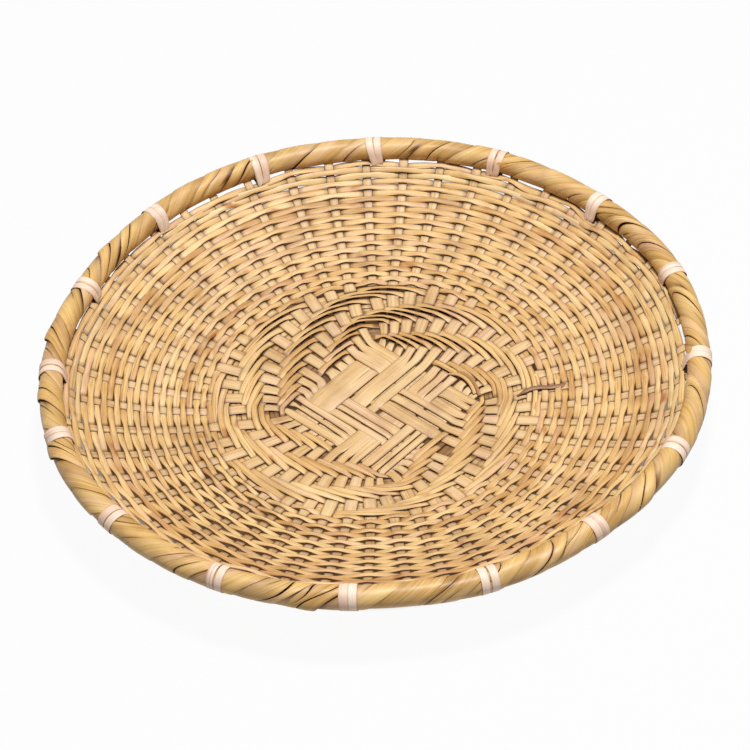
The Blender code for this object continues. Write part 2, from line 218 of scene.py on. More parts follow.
def base_point(share, number):
    """A point of the base between the square, at share 0, and the foot of the wall, at share 1."""
    share = np.asarray(share, float)[..., None]
    angle = bearing(number, 0)
    outwards = np.stack([np.cos(angle), np.sin(angle)], -1)
    root, foot = between_stakes(ROOTS, number), TWILL_RADIUS * outwards
    # A stake leaves the square nearly straight on and swings round bit by bit until it points away from the
    # middle.
    apart = foot - root
    length = np.linalg.norm(apart, axis=-1, keepdims=True)
    leave = (between_stakes(STRAIGHT_ON, number) * length + apart) / 2
    arrive = (outwards * length + apart) / 2
    plan = root + apart * share**2 * (3 - 2 * share)
    plan = plan + leave * share * (1 - share) ** 2 - arrive * share**2 * (1 - share)
    return np.concatenate([plan, ROOT_Z + (TWILL_Z - ROOT_Z) * share], -1)


reach = np.linalg.norm(ROOTS, axis=-1)
print("the stakes start", round(reach.min() / MM, 1), "to", round(reach.max() / MM, 1), "mm from the middle")

# %% [markdown]
# ## The line of the wall
#
# Seen from the side, the wall starts as a cone and curves up to the rim. A curve like this is easiest to use
# when it is measured along its length, because the weavers are spaced along it. So it is sampled once, and
# looked up.
#
# A hoop that is bent by hand is never quite round either. A short list says how far it is from round at some
# places, and the wall takes over more of it the higher it comes.

# %% How far the rim is from round
# The angle round the rim in degrees, and how far the rim is outside (or inside) a true circle there, in mm.
ROUNDNESS = (
    (0, 0.0), (18, 0.0), (36, -1.7), (48, -1.7), (66, -0.4), (90, -0.4), (110, 0.6), (122, 0.1),
    (141, -1.7), (155, -2.6), (169, -1.2), (185, -0.5), (203, 0.4), (235, 0.0), (255, -0.6), (270, -1.6),
    (286, -0.2), (305, -0.9), (320, 0.5), (335, 1.9), (348, 1.0), (360, 0.0),
)


def out_of_round(angle):
    """How far outside a true circle the rim is at this angle."""
    places, values = np.array(ROUNDNESS, float).T
    degrees = in_degrees(angle)
    low = np.clip(np.searchsorted(places, degrees, "right") - 1, 0, len(places) - 2)
    part = smooth_step((degrees - places[low]) / (places[low + 1] - places[low]))
    return (values[low] * (1 - part) + values[low + 1] * part) * MM


print("out of round by up to", max(abs(value) for _, value in ROUNDNESS), "mm")

# %% The wall's line
line_shares = np.linspace(0, 1, 200)
line_r = TWILL_RADIUS + (WALL_TOP_RADIUS - TWILL_RADIUS) * line_shares
line_rise = WALL_CONE * line_shares + (1 - WALL_CONE) * line_shares**WALL_CURVE
line_z = TWILL_Z + (WALL_TOP_Z - TWILL_Z) * line_rise
line_length = np.concatenate([[0], np.cumsum(np.hypot(np.diff(line_r), np.diff(line_z)))])
line_slope = np.arctan2(np.gradient(line_z), np.gradient(line_r))
WALL_LENGTH = line_length[-1]
WALL_START = -1.9 * MM  # the first round lies a little inside the foot of the wall, next to the base weaver
WALL_END = WALL_LENGTH + 1.7 * MM  # and the last round ends a little past the top, against the roll
WALL_PITCH = (WALL_END - WALL_START) / WALL_ROUNDS
DRAWN_UP = 2.2 * MM  # how far the last rounds are drawn up against the inside of the rim
DRAWN_OVER = 9 * MM  # how far below the wall's top that starts


def on_wall(length, angle, lift=0.0):
    """A point at this length up the wall, at this angle, and this far above the wall's surface."""
    length, angle = np.asarray(length, float), np.asarray(angle, float)
    beyond = length - np.clip(length, 0, WALL_LENGTH)
    lift = lift + DRAWN_UP * smooth_step((length - WALL_LENGTH) / DRAWN_OVER + 1)
    slope = np.interp(length, line_length, line_slope)
    radius = np.interp(length, line_length, line_r) + beyond * np.cos(slope) - lift * np.sin(slope)
    height = np.interp(length, line_length, line_z) + beyond * np.sin(slope) + lift * np.cos(slope)
    radius = radius + out_of_round(angle) * smooth_step(length / WALL_LENGTH) ** 1.5
    return np.stack([radius * np.cos(angle), radius * np.sin(angle), height], -1)


print("wall:", round(WALL_LENGTH / MM, 1), "mm long, a round every", round(WALL_PITCH / MM, 2), "mm")

# %% How far up the wall the weaver is
# Along the back the last rounds have slipped down and leave openings under the rim: where and how widely, in
# degrees, and how deep in mm.
SLIPPED = (
    (122, 11, 1.6), (110, 5, 1.6), (97, 3, 1.2), (81, 6, 1.8), (66, 5, 1.4), (55, 4, 2.0), (39, 3, 2.2),
    (27, 2.5, 1.5),
)


def round_length(step):
    """How far up the wall the weaver is when it has passed this many stakes."""
    step = np.asarray(step, float)
    share = step / COUNT / WALL_ROUNDS
    degrees = in_degrees(FIRST_STAKE - step * STEP)
    drift = wander(21, step, 37.0, 0.10) + wander(22, step * STEP, 2.1, 0.16) * np.sin(math.pi * share)
    # At the back the first rounds stand off the base weaver.
    loose_foot = 1.9 * hump(degrees, 85, 24) * smooth_step((0.06 - share) / 0.05)
    slipped = sum(depth * hump(degrees, place, width) for place, width, depth in SLIPPED)
    slipped = slipped * smooth_step((share - 0.93) / 0.03)
    return WALL_START + (WALL_END - WALL_START) * share + (drift + loose_foot - slipped) * MM


print("the third round starts", round(float(round_length(2 * COUNT)) / MM, 2), "mm up the wall")

# %% [markdown]
# ## Bamboo
#
# All the pieces are split from the same kind of cane, so one function makes all the finishes. Bamboo is
# fibrous: thin lines run along every strip, and slow changes of colour go from straw to pink and orange. An
# image could be wrapped on each strip, but noise that is stretched along the strip gives the same look at any
# size. For this the ribbons carry three values of their own: the length and the width in metres, and a seed
# that differs from strip to strip. The material reads them as its coordinates.
#
# A weave is drawn by its shadows as much as by its strips. The lamp makes the large ones. The small ones,
# where a strip dives under another, are helped by painted shade in the material: a value that the ribbons
# carry, which says how much shade is painted on the strip at that place, and an ambient occlusion node,
# which paints shade on what lies in a narrow hollow.

# %% Helpers for material nodes
def math_node(nodes, links, operation, first, second):
    """A sum on two inputs, each a plain number or the output of another node."""
    node = nodes.new("ShaderNodeMath")
    node.operation = operation
    for socket, value in zip(node.inputs, (first, second)):
        if isinstance(value, (int, float)):
            socket.default_value = value
        else:
            links.new(value, socket)
    return node.outputs[0]


def ramp_node(nodes, links, factor, stops):
    """A value turned into a colour, by stops that each have a place and a colour."""
    node = nodes.new("ShaderNodeValToRGB")
    links.new(factor, node.inputs["Fac"])
    while len(node.color_ramp.elements) < len(stops):
        node.color_ramp.elements.new(0.5)
    for element, (place, colour) in zip(node.color_ramp.elements, stops):
        element.position = place
        element.color = (*colour, 1)
    return node.outputs["Color"]


def mix_node(nodes, links, factor, first, second, blend="MIX"):
    """Two colours mixed or multiplied, by this factor."""
    node = nodes.new("ShaderNodeMix")
    node.data_type = "RGBA"
    node.blend_type = blend
    for socket, value in zip((node.inputs[0], node.inputs[6], node.inputs[7]), (factor, first, second)):
        if isinstance(value, (int, float)):
            socket.default_value = value
        elif isinstance(value, tuple):
            socket.default_value = (*value, 1)
        else:
            links.new(value, socket)
    return node.outputs[2]


def srgb(*values):
    """A colour as it is read off a screen, 0 to 255, turned into the linear light that a shader takes."""
    return tuple(((v / 255 + 0.055) / 1.055) ** 2.4 if v > 10 else v / 255 / 12.92 for v in values)


print("straw on a screen", (240, 208, 150), "is", [round(v, 3) for v in srgb(240, 208, 150)], "as light")

# %% Helpers for what the ribbons carry
def attribute_node(nodes, label, output="Fac"):
    """The value that the ribbons carry under this label."""
    node = nodes.new("ShaderNodeAttribute")
    node.attribute_name = label
    return node.outputs[output]


def noise_along(nodes, links, grain, scale, detail, rough=0.5):
    """Noise stretched by these factors along the strip, across it and from strip to strip."""
    stretch = nodes.new("ShaderNodeVectorMath")
    stretch.operation = "MULTIPLY"
    links.new(grain, stretch.inputs[0])
    stretch.inputs[1].default_value = scale
    node = nodes.new("ShaderNodeTexNoise")
    links.new(stretch.outputs["Vector"], node.inputs["Vector"])
    node.inputs["Scale"].default_value = 1
    node.inputs["Detail"].default_value = detail
    node.inputs["Roughness"].default_value = rough
    return node.outputs["Fac"]


def around_zero(nodes, links, value, height):
    """A noise that goes from 0 to 1, moved to have its middle at 0, and stretched to this height."""
    centred = math_node(nodes, links, "SUBTRACT", value, 0.5)
    return math_node(nodes, links, "MULTIPLY", centred, height)


print("a noise with the factors (22, 1700, 8.7) changes", round(1700 / 22), "times as fast across as along")

# %% Fresh bamboo
BLACK, WHITE = (0, 0, 0), (1, 1, 1)
PINK = (0.80, 0.52, 0.38)
PINK_SHARE, STAIN_SHARE = 0.35, 0.8  # how strongly a blush and a stain show at most


def fresh_colour(nodes, links, grain, streaks, pale, middle, deep, stain, stain_from, uneven):
    """From pale to deep along and between strips, with a pink blush and stains."""
    slow = noise_along(nodes, links, grain, (34, 190, 5.3), 3)
    bands = noise_along(nodes, links, grain, (14, 620, 7.1), 2)
    patches = noise_along(nodes, links, grain, (70, 150, 3.9), 2)
    blush = noise_along(nodes, links, grain, (19, 90, 2.3), 2)

    place = attribute_node(nodes, "tone")
    for value, height in ((slow, 1.5 * uneven), (bands, 0.9 * uneven), (streaks, 0.7)):
        place = math_node(nodes, links, "ADD", place, around_zero(nodes, links, value, height))
    colour = ramp_node(nodes, links, place, ((0.0, deep), (0.5, middle), (1.0, pale)))

    pink = ramp_node(nodes, links, blush, ((0.5, BLACK), (0.66, WHITE)))
    colour = mix_node(nodes, links, math_node(nodes, links, "MULTIPLY", pink, PINK_SHARE), colour, PINK)
    stained = ramp_node(nodes, links, patches, ((stain_from, BLACK), (stain_from + 0.12, WHITE)))
    return mix_node(nodes, links, math_node(nodes, links, "MULTIPLY", stained, STAIN_SHARE), colour, stain)


print("blush:", PINK, "at most", PINK_SHARE)

# %% Lines, worn edges and painted shade
# What the colour is multiplied by: in dull patches, at the edges, and where shade is painted.
DULL = (0.84, 0.81, 0.80)
# The edges are partly worn and partly darkened by painted shade between strips.
WORN_AND_SHADED_EDGE = (0.38, 0.24, 0.13)
# Painted shade where strips pass under others, which on the loose laths on the base is their own brown.
BROWN_AND_PAINTED_SHADE = (0.19, 0.10, 0.045)
# Painted shade in narrow hollows, from the ambient occlusion node: deep in the weave, softer on the rim and
# ties.
DEEP_HOLLOW_SHADE = (0.17, 0.08, 0.03)
SOFT_HOLLOW_SHADE = (0.50, 0.37, 0.24)
HOLLOW_REACH = 3.6 * MM  # how far round it a place looks for what shades it


def used_colour(nodes, links, colour, streaks, fibres, line, fibre, edge_wear_and_shade, hollow, depths):
    """The fresh colour with dull patches, darker lines and edges, and painted shade under strips and in
    hollows.
    """

    def multiplied(by):
        return mix_node(nodes, links, 1.0, colour, by, "MULTIPLY")

    # Handling and water leave dull patches, which run on from one strip to the next.
    where = nodes.new("ShaderNodeTexCoord")
    patches = nodes.new("ShaderNodeTexNoise")
    links.new(where.outputs["Object"], patches.inputs["Vector"])
    patches.inputs["Scale"].default_value = 52
    patches.inputs["Detail"].default_value = 3
    colour = multiplied(ramp_node(nodes, links, patches.outputs["Fac"], ((0.5, WHITE), (0.66, DULL))))

    # Thin darker lines run along the strip, and finer ones between them.
    line_colour = (1 - line, 1 - line * 1.1, 1 - line * 1.2)
    colour = multiplied(ramp_node(nodes, links, streaks, ((0.32, line_colour), (0.44, WHITE))))
    fibre_colour = (1 - fibre * 0.5,) * 3
    colour = multiplied(ramp_node(nodes, links, fibres, ((0.3, fibre_colour), (0.62, WHITE))))

    # The eased edges are darker, partly worn and partly painted shade between strips. Painted shade darkens
    # the bamboo where strips pass under others, and the ambient occlusion node paints shade in the hollows.
    distance = math_node(nodes, links, "ABSOLUTE", attribute_node(nodes, "across"), 0)
    edge = math_node(nodes, links, "POWER", distance, 6)
    colour = multiplied(mix_node(nodes, links, math_node(nodes, links, "MULTIPLY", edge, edge_wear_and_shade), WHITE, WORN_AND_SHADED_EDGE))
    colour = multiplied(mix_node(nodes, links, attribute_node(nodes, "shade"), WHITE, BROWN_AND_PAINTED_SHADE))
    openness = nodes.new("ShaderNodeAmbientOcclusion")
    openness.samples = 8
    openness.inputs["Distance"].default_value = HOLLOW_REACH
    stops = ((depths[0], hollow), (depths[1], WHITE))
    return multiplied(ramp_node(nodes, links, openness.outputs["AO"], stops))


print("hollows are looked for up to", round(HOLLOW_REACH / MM, 1), "mm away")

# %% A function for the bamboo finishes
RELIEF_DEPTH = 0.15 * MM


def bamboo(name, pale, middle, deep, stain, roughness, specular, stain_from=0.62, fibre=0.5, line=0.4,
           relief=0.35, uneven=1.0, hollow=DEEP_HOLLOW_SHADE, depths=(0.24, 0.74), edge_wear_and_shade=0.6):
    """Split bamboo in these colours, with stains, fibres and darker edges.

    fibre and line say how dark the fine and the coarser lines are, uneven how much the tone changes, and the
    last value how dark the edges are, which are partly worn and partly painted shade between strips. hollow is
    the colour of the painted shade in hollows, and depths are the openness at which it is darkest, and at
    which it is gone.
    """
    material = bpy.data.materials.new(name)
    material.use_nodes = True
    nodes, links = material.node_tree.nodes, material.node_tree.links
    shader = nodes["Principled BSDF"]
    grain = attribute_node(nodes, "grain", "Vector")
    streaks = noise_along(nodes, links, grain, (22, 1700, 8.7), 3, 0.6)
    fibres = noise_along(nodes, links, grain, (45, 5200, 9.7), 2, 0.6)
    colour = fresh_colour(nodes, links, grain, streaks, pale, middle, deep, stain, stain_from, uneven)
    colour = used_colour(nodes, links, colour, streaks, fibres, line, fibre, edge_wear_and_shade, hollow, depths)
    links.new(colour, shader.inputs["Base Color"])

    rough = math_node(nodes, links, "MULTIPLY", streaks, 0.25)
    links.new(math_node(nodes, links, "ADD", rough, roughness - 0.12), shader.inputs["Roughness"])
    shader.inputs["Specular IOR Level"].default_value = specular

    bump = nodes.new("ShaderNodeBump")
    bump.inputs["Strength"].default_value = relief
    bump.inputs["Distance"].default_value = RELIEF_DEPTH
    height = math_node(nodes, links, "ADD", math_node(nodes, links, "MULTIPLY", streaks, 0.7), fibres)
    links.new(height, bump.inputs["Height"])
    links.new(bump.outputs["Normal"], shader.inputs["Normal"])
    print(name, "has", len(nodes), "nodes")
    return material


# %% [markdown]
# ## The five finishes
#
# The strips and stakes are wide and pale, the weavers a little warmer. The hoop is rough and brown, and
# hardly seen. The rim is wound with shaved strips, olive tan with a soft sheen, and the ties are peeled and
# nearly white. Each finish is the same function with its own colours, from pale over middle to deep, and the
# colour of its stains.

# %% Make the finishes
STAKE_FINISH = bamboo("stake_finish", srgb(231, 199, 149), srgb(219, 180, 126), srgb(197, 149, 92),
                      srgb(186, 118, 58), 0.48, 0.45, stain_from=0.68, line=0.25, uneven=0.8,
                      depths=(0.34, 0.62), edge_wear_and_shade=1.0)
WEAVER_FINISH = bamboo("weaver_finish", srgb(240, 208, 150), srgb(225, 183, 120), srgb(194, 142, 81),
                       srgb(176, 104, 46), 0.46, 0.45, line=0.3, uneven=0.75, depths=(0.34, 0.72), edge_wear_and_shade=0.85)
CORE_FINISH = bamboo("core_finish", srgb(170, 124, 72), srgb(136, 92, 48), srgb(98, 62, 32),
                     srgb(80, 50, 26), 0.6, 0.3)
WRAP_FINISH = bamboo("wrap_finish", srgb(239, 205, 143), srgb(218, 175, 106), srgb(174, 125, 60),
                     srgb(164, 108, 46), 0.44, 0.38, stain_from=0.7, fibre=0.25, line=0.3, relief=0.2,
                     uneven=0.55, hollow=SOFT_HOLLOW_SHADE)
TIE_FINISH = bamboo("tie_finish", srgb(248, 226, 205), srgb(242, 211, 188), srgb(230, 188, 158),
                    srgb(226, 180, 144), 0.5, 0.4, stain_from=0.74, fibre=0.3, line=0.25,
                    hollow=SOFT_HOLLOW_SHADE)

# %% [markdown]
# ## A ribbon of bamboo
#
# Each strip is a grid of points, some across and many along, which is thickened into a closed body. The edge
# columns are thinner, as on a shaved strip whose edges are eased. A curve object with a bevel would also give
# a ribbon, but a grid lets the width, the tilt and the thickness change from one row to the next, which is
# what makes a strip look split by hand.

# %% Helpers for lines of points
def unit(vectors):
    """The same directions, each with a length of 1."""
    return vectors / np.linalg.norm(vectors, axis=-1, keepdims=True)


def smoothed(values, sigma):
    """The rows of an array, evened out over about sigma rows each way. The ends stay where they are."""
    reach = int(3 * sigma) + 1
    kernel = np.exp(-0.5 * (np.arange(-reach, reach + 1) / sigma) ** 2)
    kernel /= kernel.sum()
    columns = values.reshape(len(values), -1)
    head = 2 * columns[:1] - columns[1:reach + 1][::-1]
    tail = 2 * columns[-1:] - columns[-reach - 1:-1][::-1]
    padded = np.concatenate([head, columns, tail])
    out = np.stack([np.convolve(column, kernel, "valid") for column in padded.T], -1)
    return out.reshape(values.shape)


def run_along(points):
    """How far along the line each of its points is."""
    return np.concatenate([[0], np.cumsum(np.linalg.norm(np.diff(points, axis=0), axis=-1))])


def resampled(points, spacing):
    """Points at an even spacing along a line. More columns than three are carried along."""
    length = run_along(points[:, :3])
    places = np.linspace(0, length[-1], int(length[-1] / spacing) + 1)
    return np.stack([np.interp(places, length, column) for column in points.T], -1)


print("a line of 10 mm at 2 mm:", resampled(np.array([[0, 0, 0], [10, 0, 0]], float), 2)[:, 0])

# %% One ribbon
EASED_SHARES = np.array([-1, -0.86, 0, 0.86, 1])  # where the columns lie across a ribbon
EASED_THICK = np.array([0.35, 0.95, 1.08, 0.95, 0.35])  # and how thick it is there, if both edges are shaved


def ribbon(centre, sideways, half, thick, tone, seed, crown=0.0, tilt=0.0, start=0.0, offset=0.0, shade=0.0,
           ease=(1.0, 1.0)):
    """The parts of a mesh for one ribbon, from its centre line, the way across it, and half of its width.

    tone, seed, offset and shade go to the finish: how pale it is, which strip it is, where the ribbon lies
    across that strip, and how much painted shade it carries, which on the loose laths is their own brown.
    crown lifts the middle above the edges, and tilt lifts one edge and lowers the other. ease is 1 along an
    edge that is shaved, and 0 along one that meets a neighbour flush, first on the left and then on the right.
    """
    rows, shares = len(centre), EASED_SHARES
    along = unit(np.gradient(centre, axis=0))
    sideways = unit(sideways - along * (sideways * along).sum(-1, keepdims=True))
    normal = np.cross(along, sideways)
    half, crown, tilt, thick, tone, seed, offset, shade, low, high = (
        np.broadcast_to(v, rows).astype(float)[:, None]
        for v in (half, crown, tilt, thick, tone, seed, offset, shade, *ease)
    )
    eased = np.where(shares < 0, low, np.where(shares > 0, high, (low + high) / 2))
    lift = (crown * (1 - shares**2) + tilt * shares) * eased
    width = half * shares
    grid = centre[:, None] + sideways[:, None] * width[..., None] + normal[:, None] * lift[..., None]
    spread = (1 - (1 - EASED_THICK) * eased) * thick / 2
    run = start + run_along(centre)
    values = np.stack(np.broadcast_arrays(run[:, None], width + offset, seed), -1)
    return (grid, normal[:, None] * spread[..., None], values, np.broadcast_to(tone, width.shape),
            shares * eased, np.broadcast_to(shade, width.shape))


def ribbon_faces(rows, columns):
    """The faces of a closed band: its upper and lower side, its two edges and its two ends."""
    top = np.arange(rows * columns).reshape(rows, columns)
    low = top + rows * columns

    def quads(a, b, c, d):
        return np.stack([a, b, c, d], -1).reshape(-1, 4)

    return np.concatenate([
        quads(top[:-1, :-1], top[1:, :-1], top[1:, 1:], top[:-1, 1:]),
        quads(low[:-1, :-1], low[:-1, 1:], low[1:, 1:], low[1:, :-1]),
        quads(top[:-1, 0], low[:-1, 0], low[1:, 0], top[1:, 0]),
        quads(top[:-1, -1], top[1:, -1], low[1:, -1], low[:-1, -1]),
        quads(top[0, :-1], top[0, 1:], low[0, 1:], low[0, :-1]),
        quads(top[-1, :-1], low[-1, :-1], low[-1, 1:], top[-1, 1:]),
    ])


print("a band of 10 rows has", len(ribbon_faces(10, len(EASED_SHARES))), "faces")

# %% [markdown]
# ## A piece of the basket
#
# Every piece is one object with one mesh, made of one or more ribbons. At each of its points it carries what
# the finish reads: the grain, which is the three values named above, the tone, the place across the ribbon,
# and the shade. The mesh is filled from arrays in a few calls, which is far quicker than adding faces one by
# one. A piece also says which measured solids it stands for, and what it rides on.

# %% One piece from several ribbons
# Strips of the weave carry painted shade, and a strip's lower face shows only this share of it.
SHADE_BELOW = 0.15  # share of its brown that a strip of the weave shows on its lower face


def make_piece(name, ribbons, finish, stands_for):
    """One object from several ribbons, set on the root in place of these measured solids, which are hidden."""
    points, faces, columns_of, first = [], [], {"grain": [], "tone": [], "across": [], "shade": []}, 0
    # The painted shade falls where strips of the weave lie over each other, so a strip's lower face gets
    # little of it.
    shade_below = SHADE_BELOW if finish in (STAKE_FINISH, WEAVER_FINISH) else 1
    for grid, spread, *values in ribbons:
        rows, columns = grid.shape[:2]
        points += [(grid + spread).reshape(-1, 3), (grid - spread).reshape(-1, 3)]
        faces.append(ribbon_faces(rows, columns) + first)
        for (label, data), value in zip(columns_of.items(), values):
            flat = np.broadcast_to(value, (rows, columns, *np.shape(value)[2:])).reshape(rows * columns, -1)
            data += [flat, flat * shade_below if label == "shade" else flat]
        first += 2 * rows * columns
    points, faces = np.concatenate(points), np.concatenate(faces)
    mesh = bpy.data.meshes.new(name)
    mesh.vertices.add(len(points))
    mesh.vertices.foreach_set("co", points.astype(np.float32).ravel())
    mesh.loops.add(faces.size)
    mesh.loops.foreach_set("vertex_index", faces.astype(np.int32).ravel())
    mesh.polygons.add(len(faces))
    mesh.polygons.foreach_set("loop_start", np.arange(0, faces.size, 4, dtype=np.int32))
    mesh.polygons.foreach_set("use_smooth", np.ones(len(faces), bool))
    for label, data in columns_of.items():
        data = np.concatenate(data).astype(np.float32)
        kind, field = ("FLOAT_VECTOR", "vector") if data.shape[1] == 3 else ("FLOAT", "value")
        mesh.attributes.new(label, kind, "POINT").data.foreach_set(field, data.ravel())
    mesh.update(calc_edges=True)
    mesh.validate()
    mesh.set_sharp_from_angle(angle=math.radians(50))
    mesh.materials.append(finish)
    piece = bpy.data.objects.new(name, mesh)
    bpy.context.scene.collection.objects.link(piece)
    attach(piece, "root")
    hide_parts(*stands_for)
    print(name, "has", len(faces), "faces")


# %% [markdown]
# ## The wide strips and their stakes
#
# Eight strips cross in a two-over, two-under twill. A strip is split lengthwise in three, and the splits run
# further in on some than on others. So each strip is made as three bands that lie edge to edge: where the
# strip is whole they touch and look like one surface, and where it is split they draw apart. Past the square
# each band is a stake, which fans out over the base, bends up into the wall and ends at the rim.

# %% Which strip is on top
def first_set_on_top(row, column):
    """Whether the first set of strips is the upper one where this row and column of the square cross."""
    return (column - row - 1) % STRIPS_EACH_WAY < STRIPS_EACH_WAY / 2


def strip_levels(way, place):
    """1 where the strip is the upper one and -1 where it is the lower one, at each crossing along it."""
    last = STRIPS_EACH_WAY - 1
    if way == 0:
        return [1 if first_set_on_top(last - place, k) else -1 for k in range(STRIPS_EACH_WAY)]
    return [-1 if first_set_on_top(last - k, last - place) else 1 for k in range(STRIPS_EACH_WAY)]


for way in range(2):
    print("set", way + 1, [strip_levels(way, place) for place in range(STRIPS_EACH_WAY)])

# %% Which side of the stakes the weavers are on
def twill_side(step):
    """Between -1, under the stakes, and 1, over them, where the base weaver has passed this many stakes."""
    wave = np.sin(math.pi * (np.asarray(step) + 0.5) / TWILL_FLOAT)
    return np.tanh(2.0 * wave) / math.tanh(2.0)


def wall_side(step, spacing=STRIP_PITCH):
    """The same for the wall weaver. It dips just far enough to pass behind every second stake."""
    from_under = np.abs(np.mod(np.asarray(step), 2) - 1) * spacing
    return 1 - 2 * np.exp(-((from_under / (4.0 * MM)) ** 2.5))


def twill_share(step):
    """How far across the base the weaver has come after this many stakes."""
    pitch = (1 - TWILL_START) / (TWILL_ROUNDS + 1)
    return TWILL_START + pitch / 2 + pitch * np.asarray(step) / COUNT


print("sides on the base:", np.round(twill_side(np.arange(7)), 1))
print("sides on the wall:", np.round(wall_side(np.arange(4)), 1))

# %% One stake
STAKE_BEND = 0.16 * MM  # how far a stake gives way to a weaver
STAKE_POINTS = 60  # along the base


def room_for_stake(shares, number):
    """Half of the width that a stake may have on the base, so that it just clears the ones beside it."""
    here = base_point(shares, np.full(len(shares), float(number)))[:, :2]
    heading = unit(here[-1] - here[0])
    room = []
    for other in (number - 1.0, number + 1.0):
        apart = base_point(shares, np.full(len(shares), other))[:, :2] - here
        room.append(np.abs(heading[0] * apart[:, 1] - heading[1] * apart[:, 0]))
    return np.minimum(*room) * 0.42


def shade_beside(covered, pitch):
    """How much painted shade a stake gets at this distance from the middle of a weaver that lies over it."""
    return hump(np.maximum(covered - pitch * 0.45, 0), 0, 0.13 * pitch + 0.15 * MM)


def stake_arm(number):
    """The stake's points from the square's edge to the rim, with its half width and shade there."""
    shares = np.linspace(0, 1, STAKE_POINTS)
    base = base_point(shares, np.full(STAKE_POINTS, float(number)))
    base_half = np.minimum(STAKE_WIDE * 0.58, room_for_stake(shares, number))
    steps = COUNT * np.arange(TWILL_ROUNDS + 1) - number
    bend = -STAKE_BEND * np.interp(shares, twill_share(steps), twill_side(steps))
    base[:, 2] += bend * np.clip(shares * 8, 0, 1)
    base_length = np.linalg.norm(base[-1] - base[0])
    # Painted shade on the stake next to the rounds of the base weaver that lie over it.
    over = twill_share(steps)[(twill_side(steps) > 0.3) & (steps > 0) & (steps < TWILL_ROUNDS * COUNT)]
    covered = np.abs(shares[:, None] - over).min(-1) * base_length
    base_shade = shade_beside(covered, (twill_share(COUNT) - twill_share(0)) * base_length)

    lengths = np.arange(0.7 * MM, WALL_LENGTH + 4.6 * MM, 0.3 * MM)
    angle = bearing(float(number), lengths / WALL_LENGTH)
    steps = COUNT * np.arange(1, WALL_ROUNDS + 1) - number
    rounds, sides = round_length(steps), wall_side(steps)
    swing = -STAKE_BEND * np.interp(lengths, rounds, sides)
    # Past the weave the stake leans out to reach the rim.
    past = smooth_step((lengths - WALL_LENGTH) / (5 * MM))
    wall = on_wall(lengths, angle, swing * (1 - past) + 0.9 * MM * past)
    wall_half = STAKE_WIDE * 0.42 * (1 + wander(100 + number, lengths, 0.05, 0.06))
    # Painted shade on the stake next to the weavers that lie over it: full at the one above, weaker at the one
    # below.
    apart = rounds[sides > 0] - lengths[:, None]
    above, below = np.where(apart > 0, apart, 1).min(-1), np.where(apart < 0, -apart, 1).min(-1)
    # In front the stakes are seen from so low that they lie in the shade of the weaver.
    front = hump(in_degrees(angle), 255, 55, 4) * smooth_step(lengths / (8 * MM))
    wall_shade = shade_beside(above, WALL_PITCH) + (0.15 + 0.5 * front) * shade_beside(below, WALL_PITCH)
    wall_shade = np.minimum(wall_shade + 0.32 * front, 1)
    return np.column_stack([np.concatenate([base, wall]), np.concatenate([base_half, wall_half]),
                            np.concatenate([base_shade, wall_shade])])


print("the first stake is", round(run_along(stake_arm(0)[:, :3])[-1] / MM, 1), "mm long")

# %% One third of a strip
SPACING = 0.7 * MM  # from one row of the ribbon to the next
LOWEST = 0.38 * MM  # a strip's middle stays this far above the floor


def strip_band(way, place, arm):
    """One of the three bands of a wide strip, with the stakes at both of its ends."""
    levels = np.array(strip_levels(way, place), float)
    along = np.arange(-SQUARE_HALF, SQUARE_HALF + SPACING / 2, SPACING)
    crossing = np.clip((along + 2 * STRIP_PITCH) / STRIP_PITCH - 0.5, 0, STRIPS_EACH_WAY - 1)
    low = np.minimum(np.floor(crossing).astype(int), STRIPS_EACH_WAY - 2)
    step = smooth_step((crossing - low - 0.5) / 0.3 + 0.5)
    height = MIDDLE_Z + LEVEL * (levels[low] * (1 - step) + levels[low + 1] * step)
    right, left, gap_low, gap_high = band_edges(way, place, arm, along)
    across, half, shut = (left + right) / 2, (left - right) / 2, 0 * along
    open_low = shut + 1 if arm == 0 else np.clip(gap_low / (0.2 * MM), 0, 1)
    open_high = shut + 1 if arm == ARMS - 1 else np.clip(gap_high / (0.2 * MM), 0, 1)
    plan = on_side(way, 0, 0) + (on_side(way, 1, 0) - on_side(way, 0, 0)) * along[:, None]
    plan = plan + (on_side(way, 0, 1) - on_side(way, 0, 0)) * across[:, None]
    line = np.column_stack([plan, height, half, shut, open_low, open_high])
    for side, order in ((way, place), (way + 2, STRIPS_EACH_WAY - 1 - place)):
        mine = arm if side == way else ARMS - 1 - arm
        slot = order * ARMS + mine
        if (side, slot) == LEFT_OUT:
            continue
        stake = stake_arm(STAKES.index((side, slot)))
        stake = np.column_stack([stake, np.ones((len(stake), 2))])
        line = np.concatenate([line, stake] if side == way else [stake[::-1], line])
    line = resampled(line, SPACING)
    line[:, :2] = smoothed(line[:, :2], 2.6)
    line[:, 2] = np.maximum(smoothed(line[:, 2], 1.1), LOWEST)
    line[:, [3, 5, 6]] = smoothed(line[:, [3, 5, 6]], 2.0)
    heading = np.gradient(line[:, :3], axis=0)
    sideways = np.stack([-heading[:, 1], heading[:, 0], np.zeros(len(line))], -1)
    number = way * SLOTS + place * ARMS + arm
    run = np.arange(len(line)) * SPACING
    tone = 0.64 + wander(20 + way * 4 + place, run, 0.21, 0.07) + 0.05 * math.sin(7.3 * number)
    tilt = wander(60 + number, run, 0.05, 0.08) * MM
    return ribbon(line[:, :3], sideways, line[:, 3], STRIP_THICK, tone, way * 4 + place + 0.5,
                  crown=0.07 * MM, tilt=tilt, shade=line[:, 4], offset=across.mean(),
                  ease=(np.clip(line[:, 5], 0, 1), np.clip(line[:, 6], 0, 1)))


print("one band has", len(strip_band(0, 0, 0)[0]), "rows")

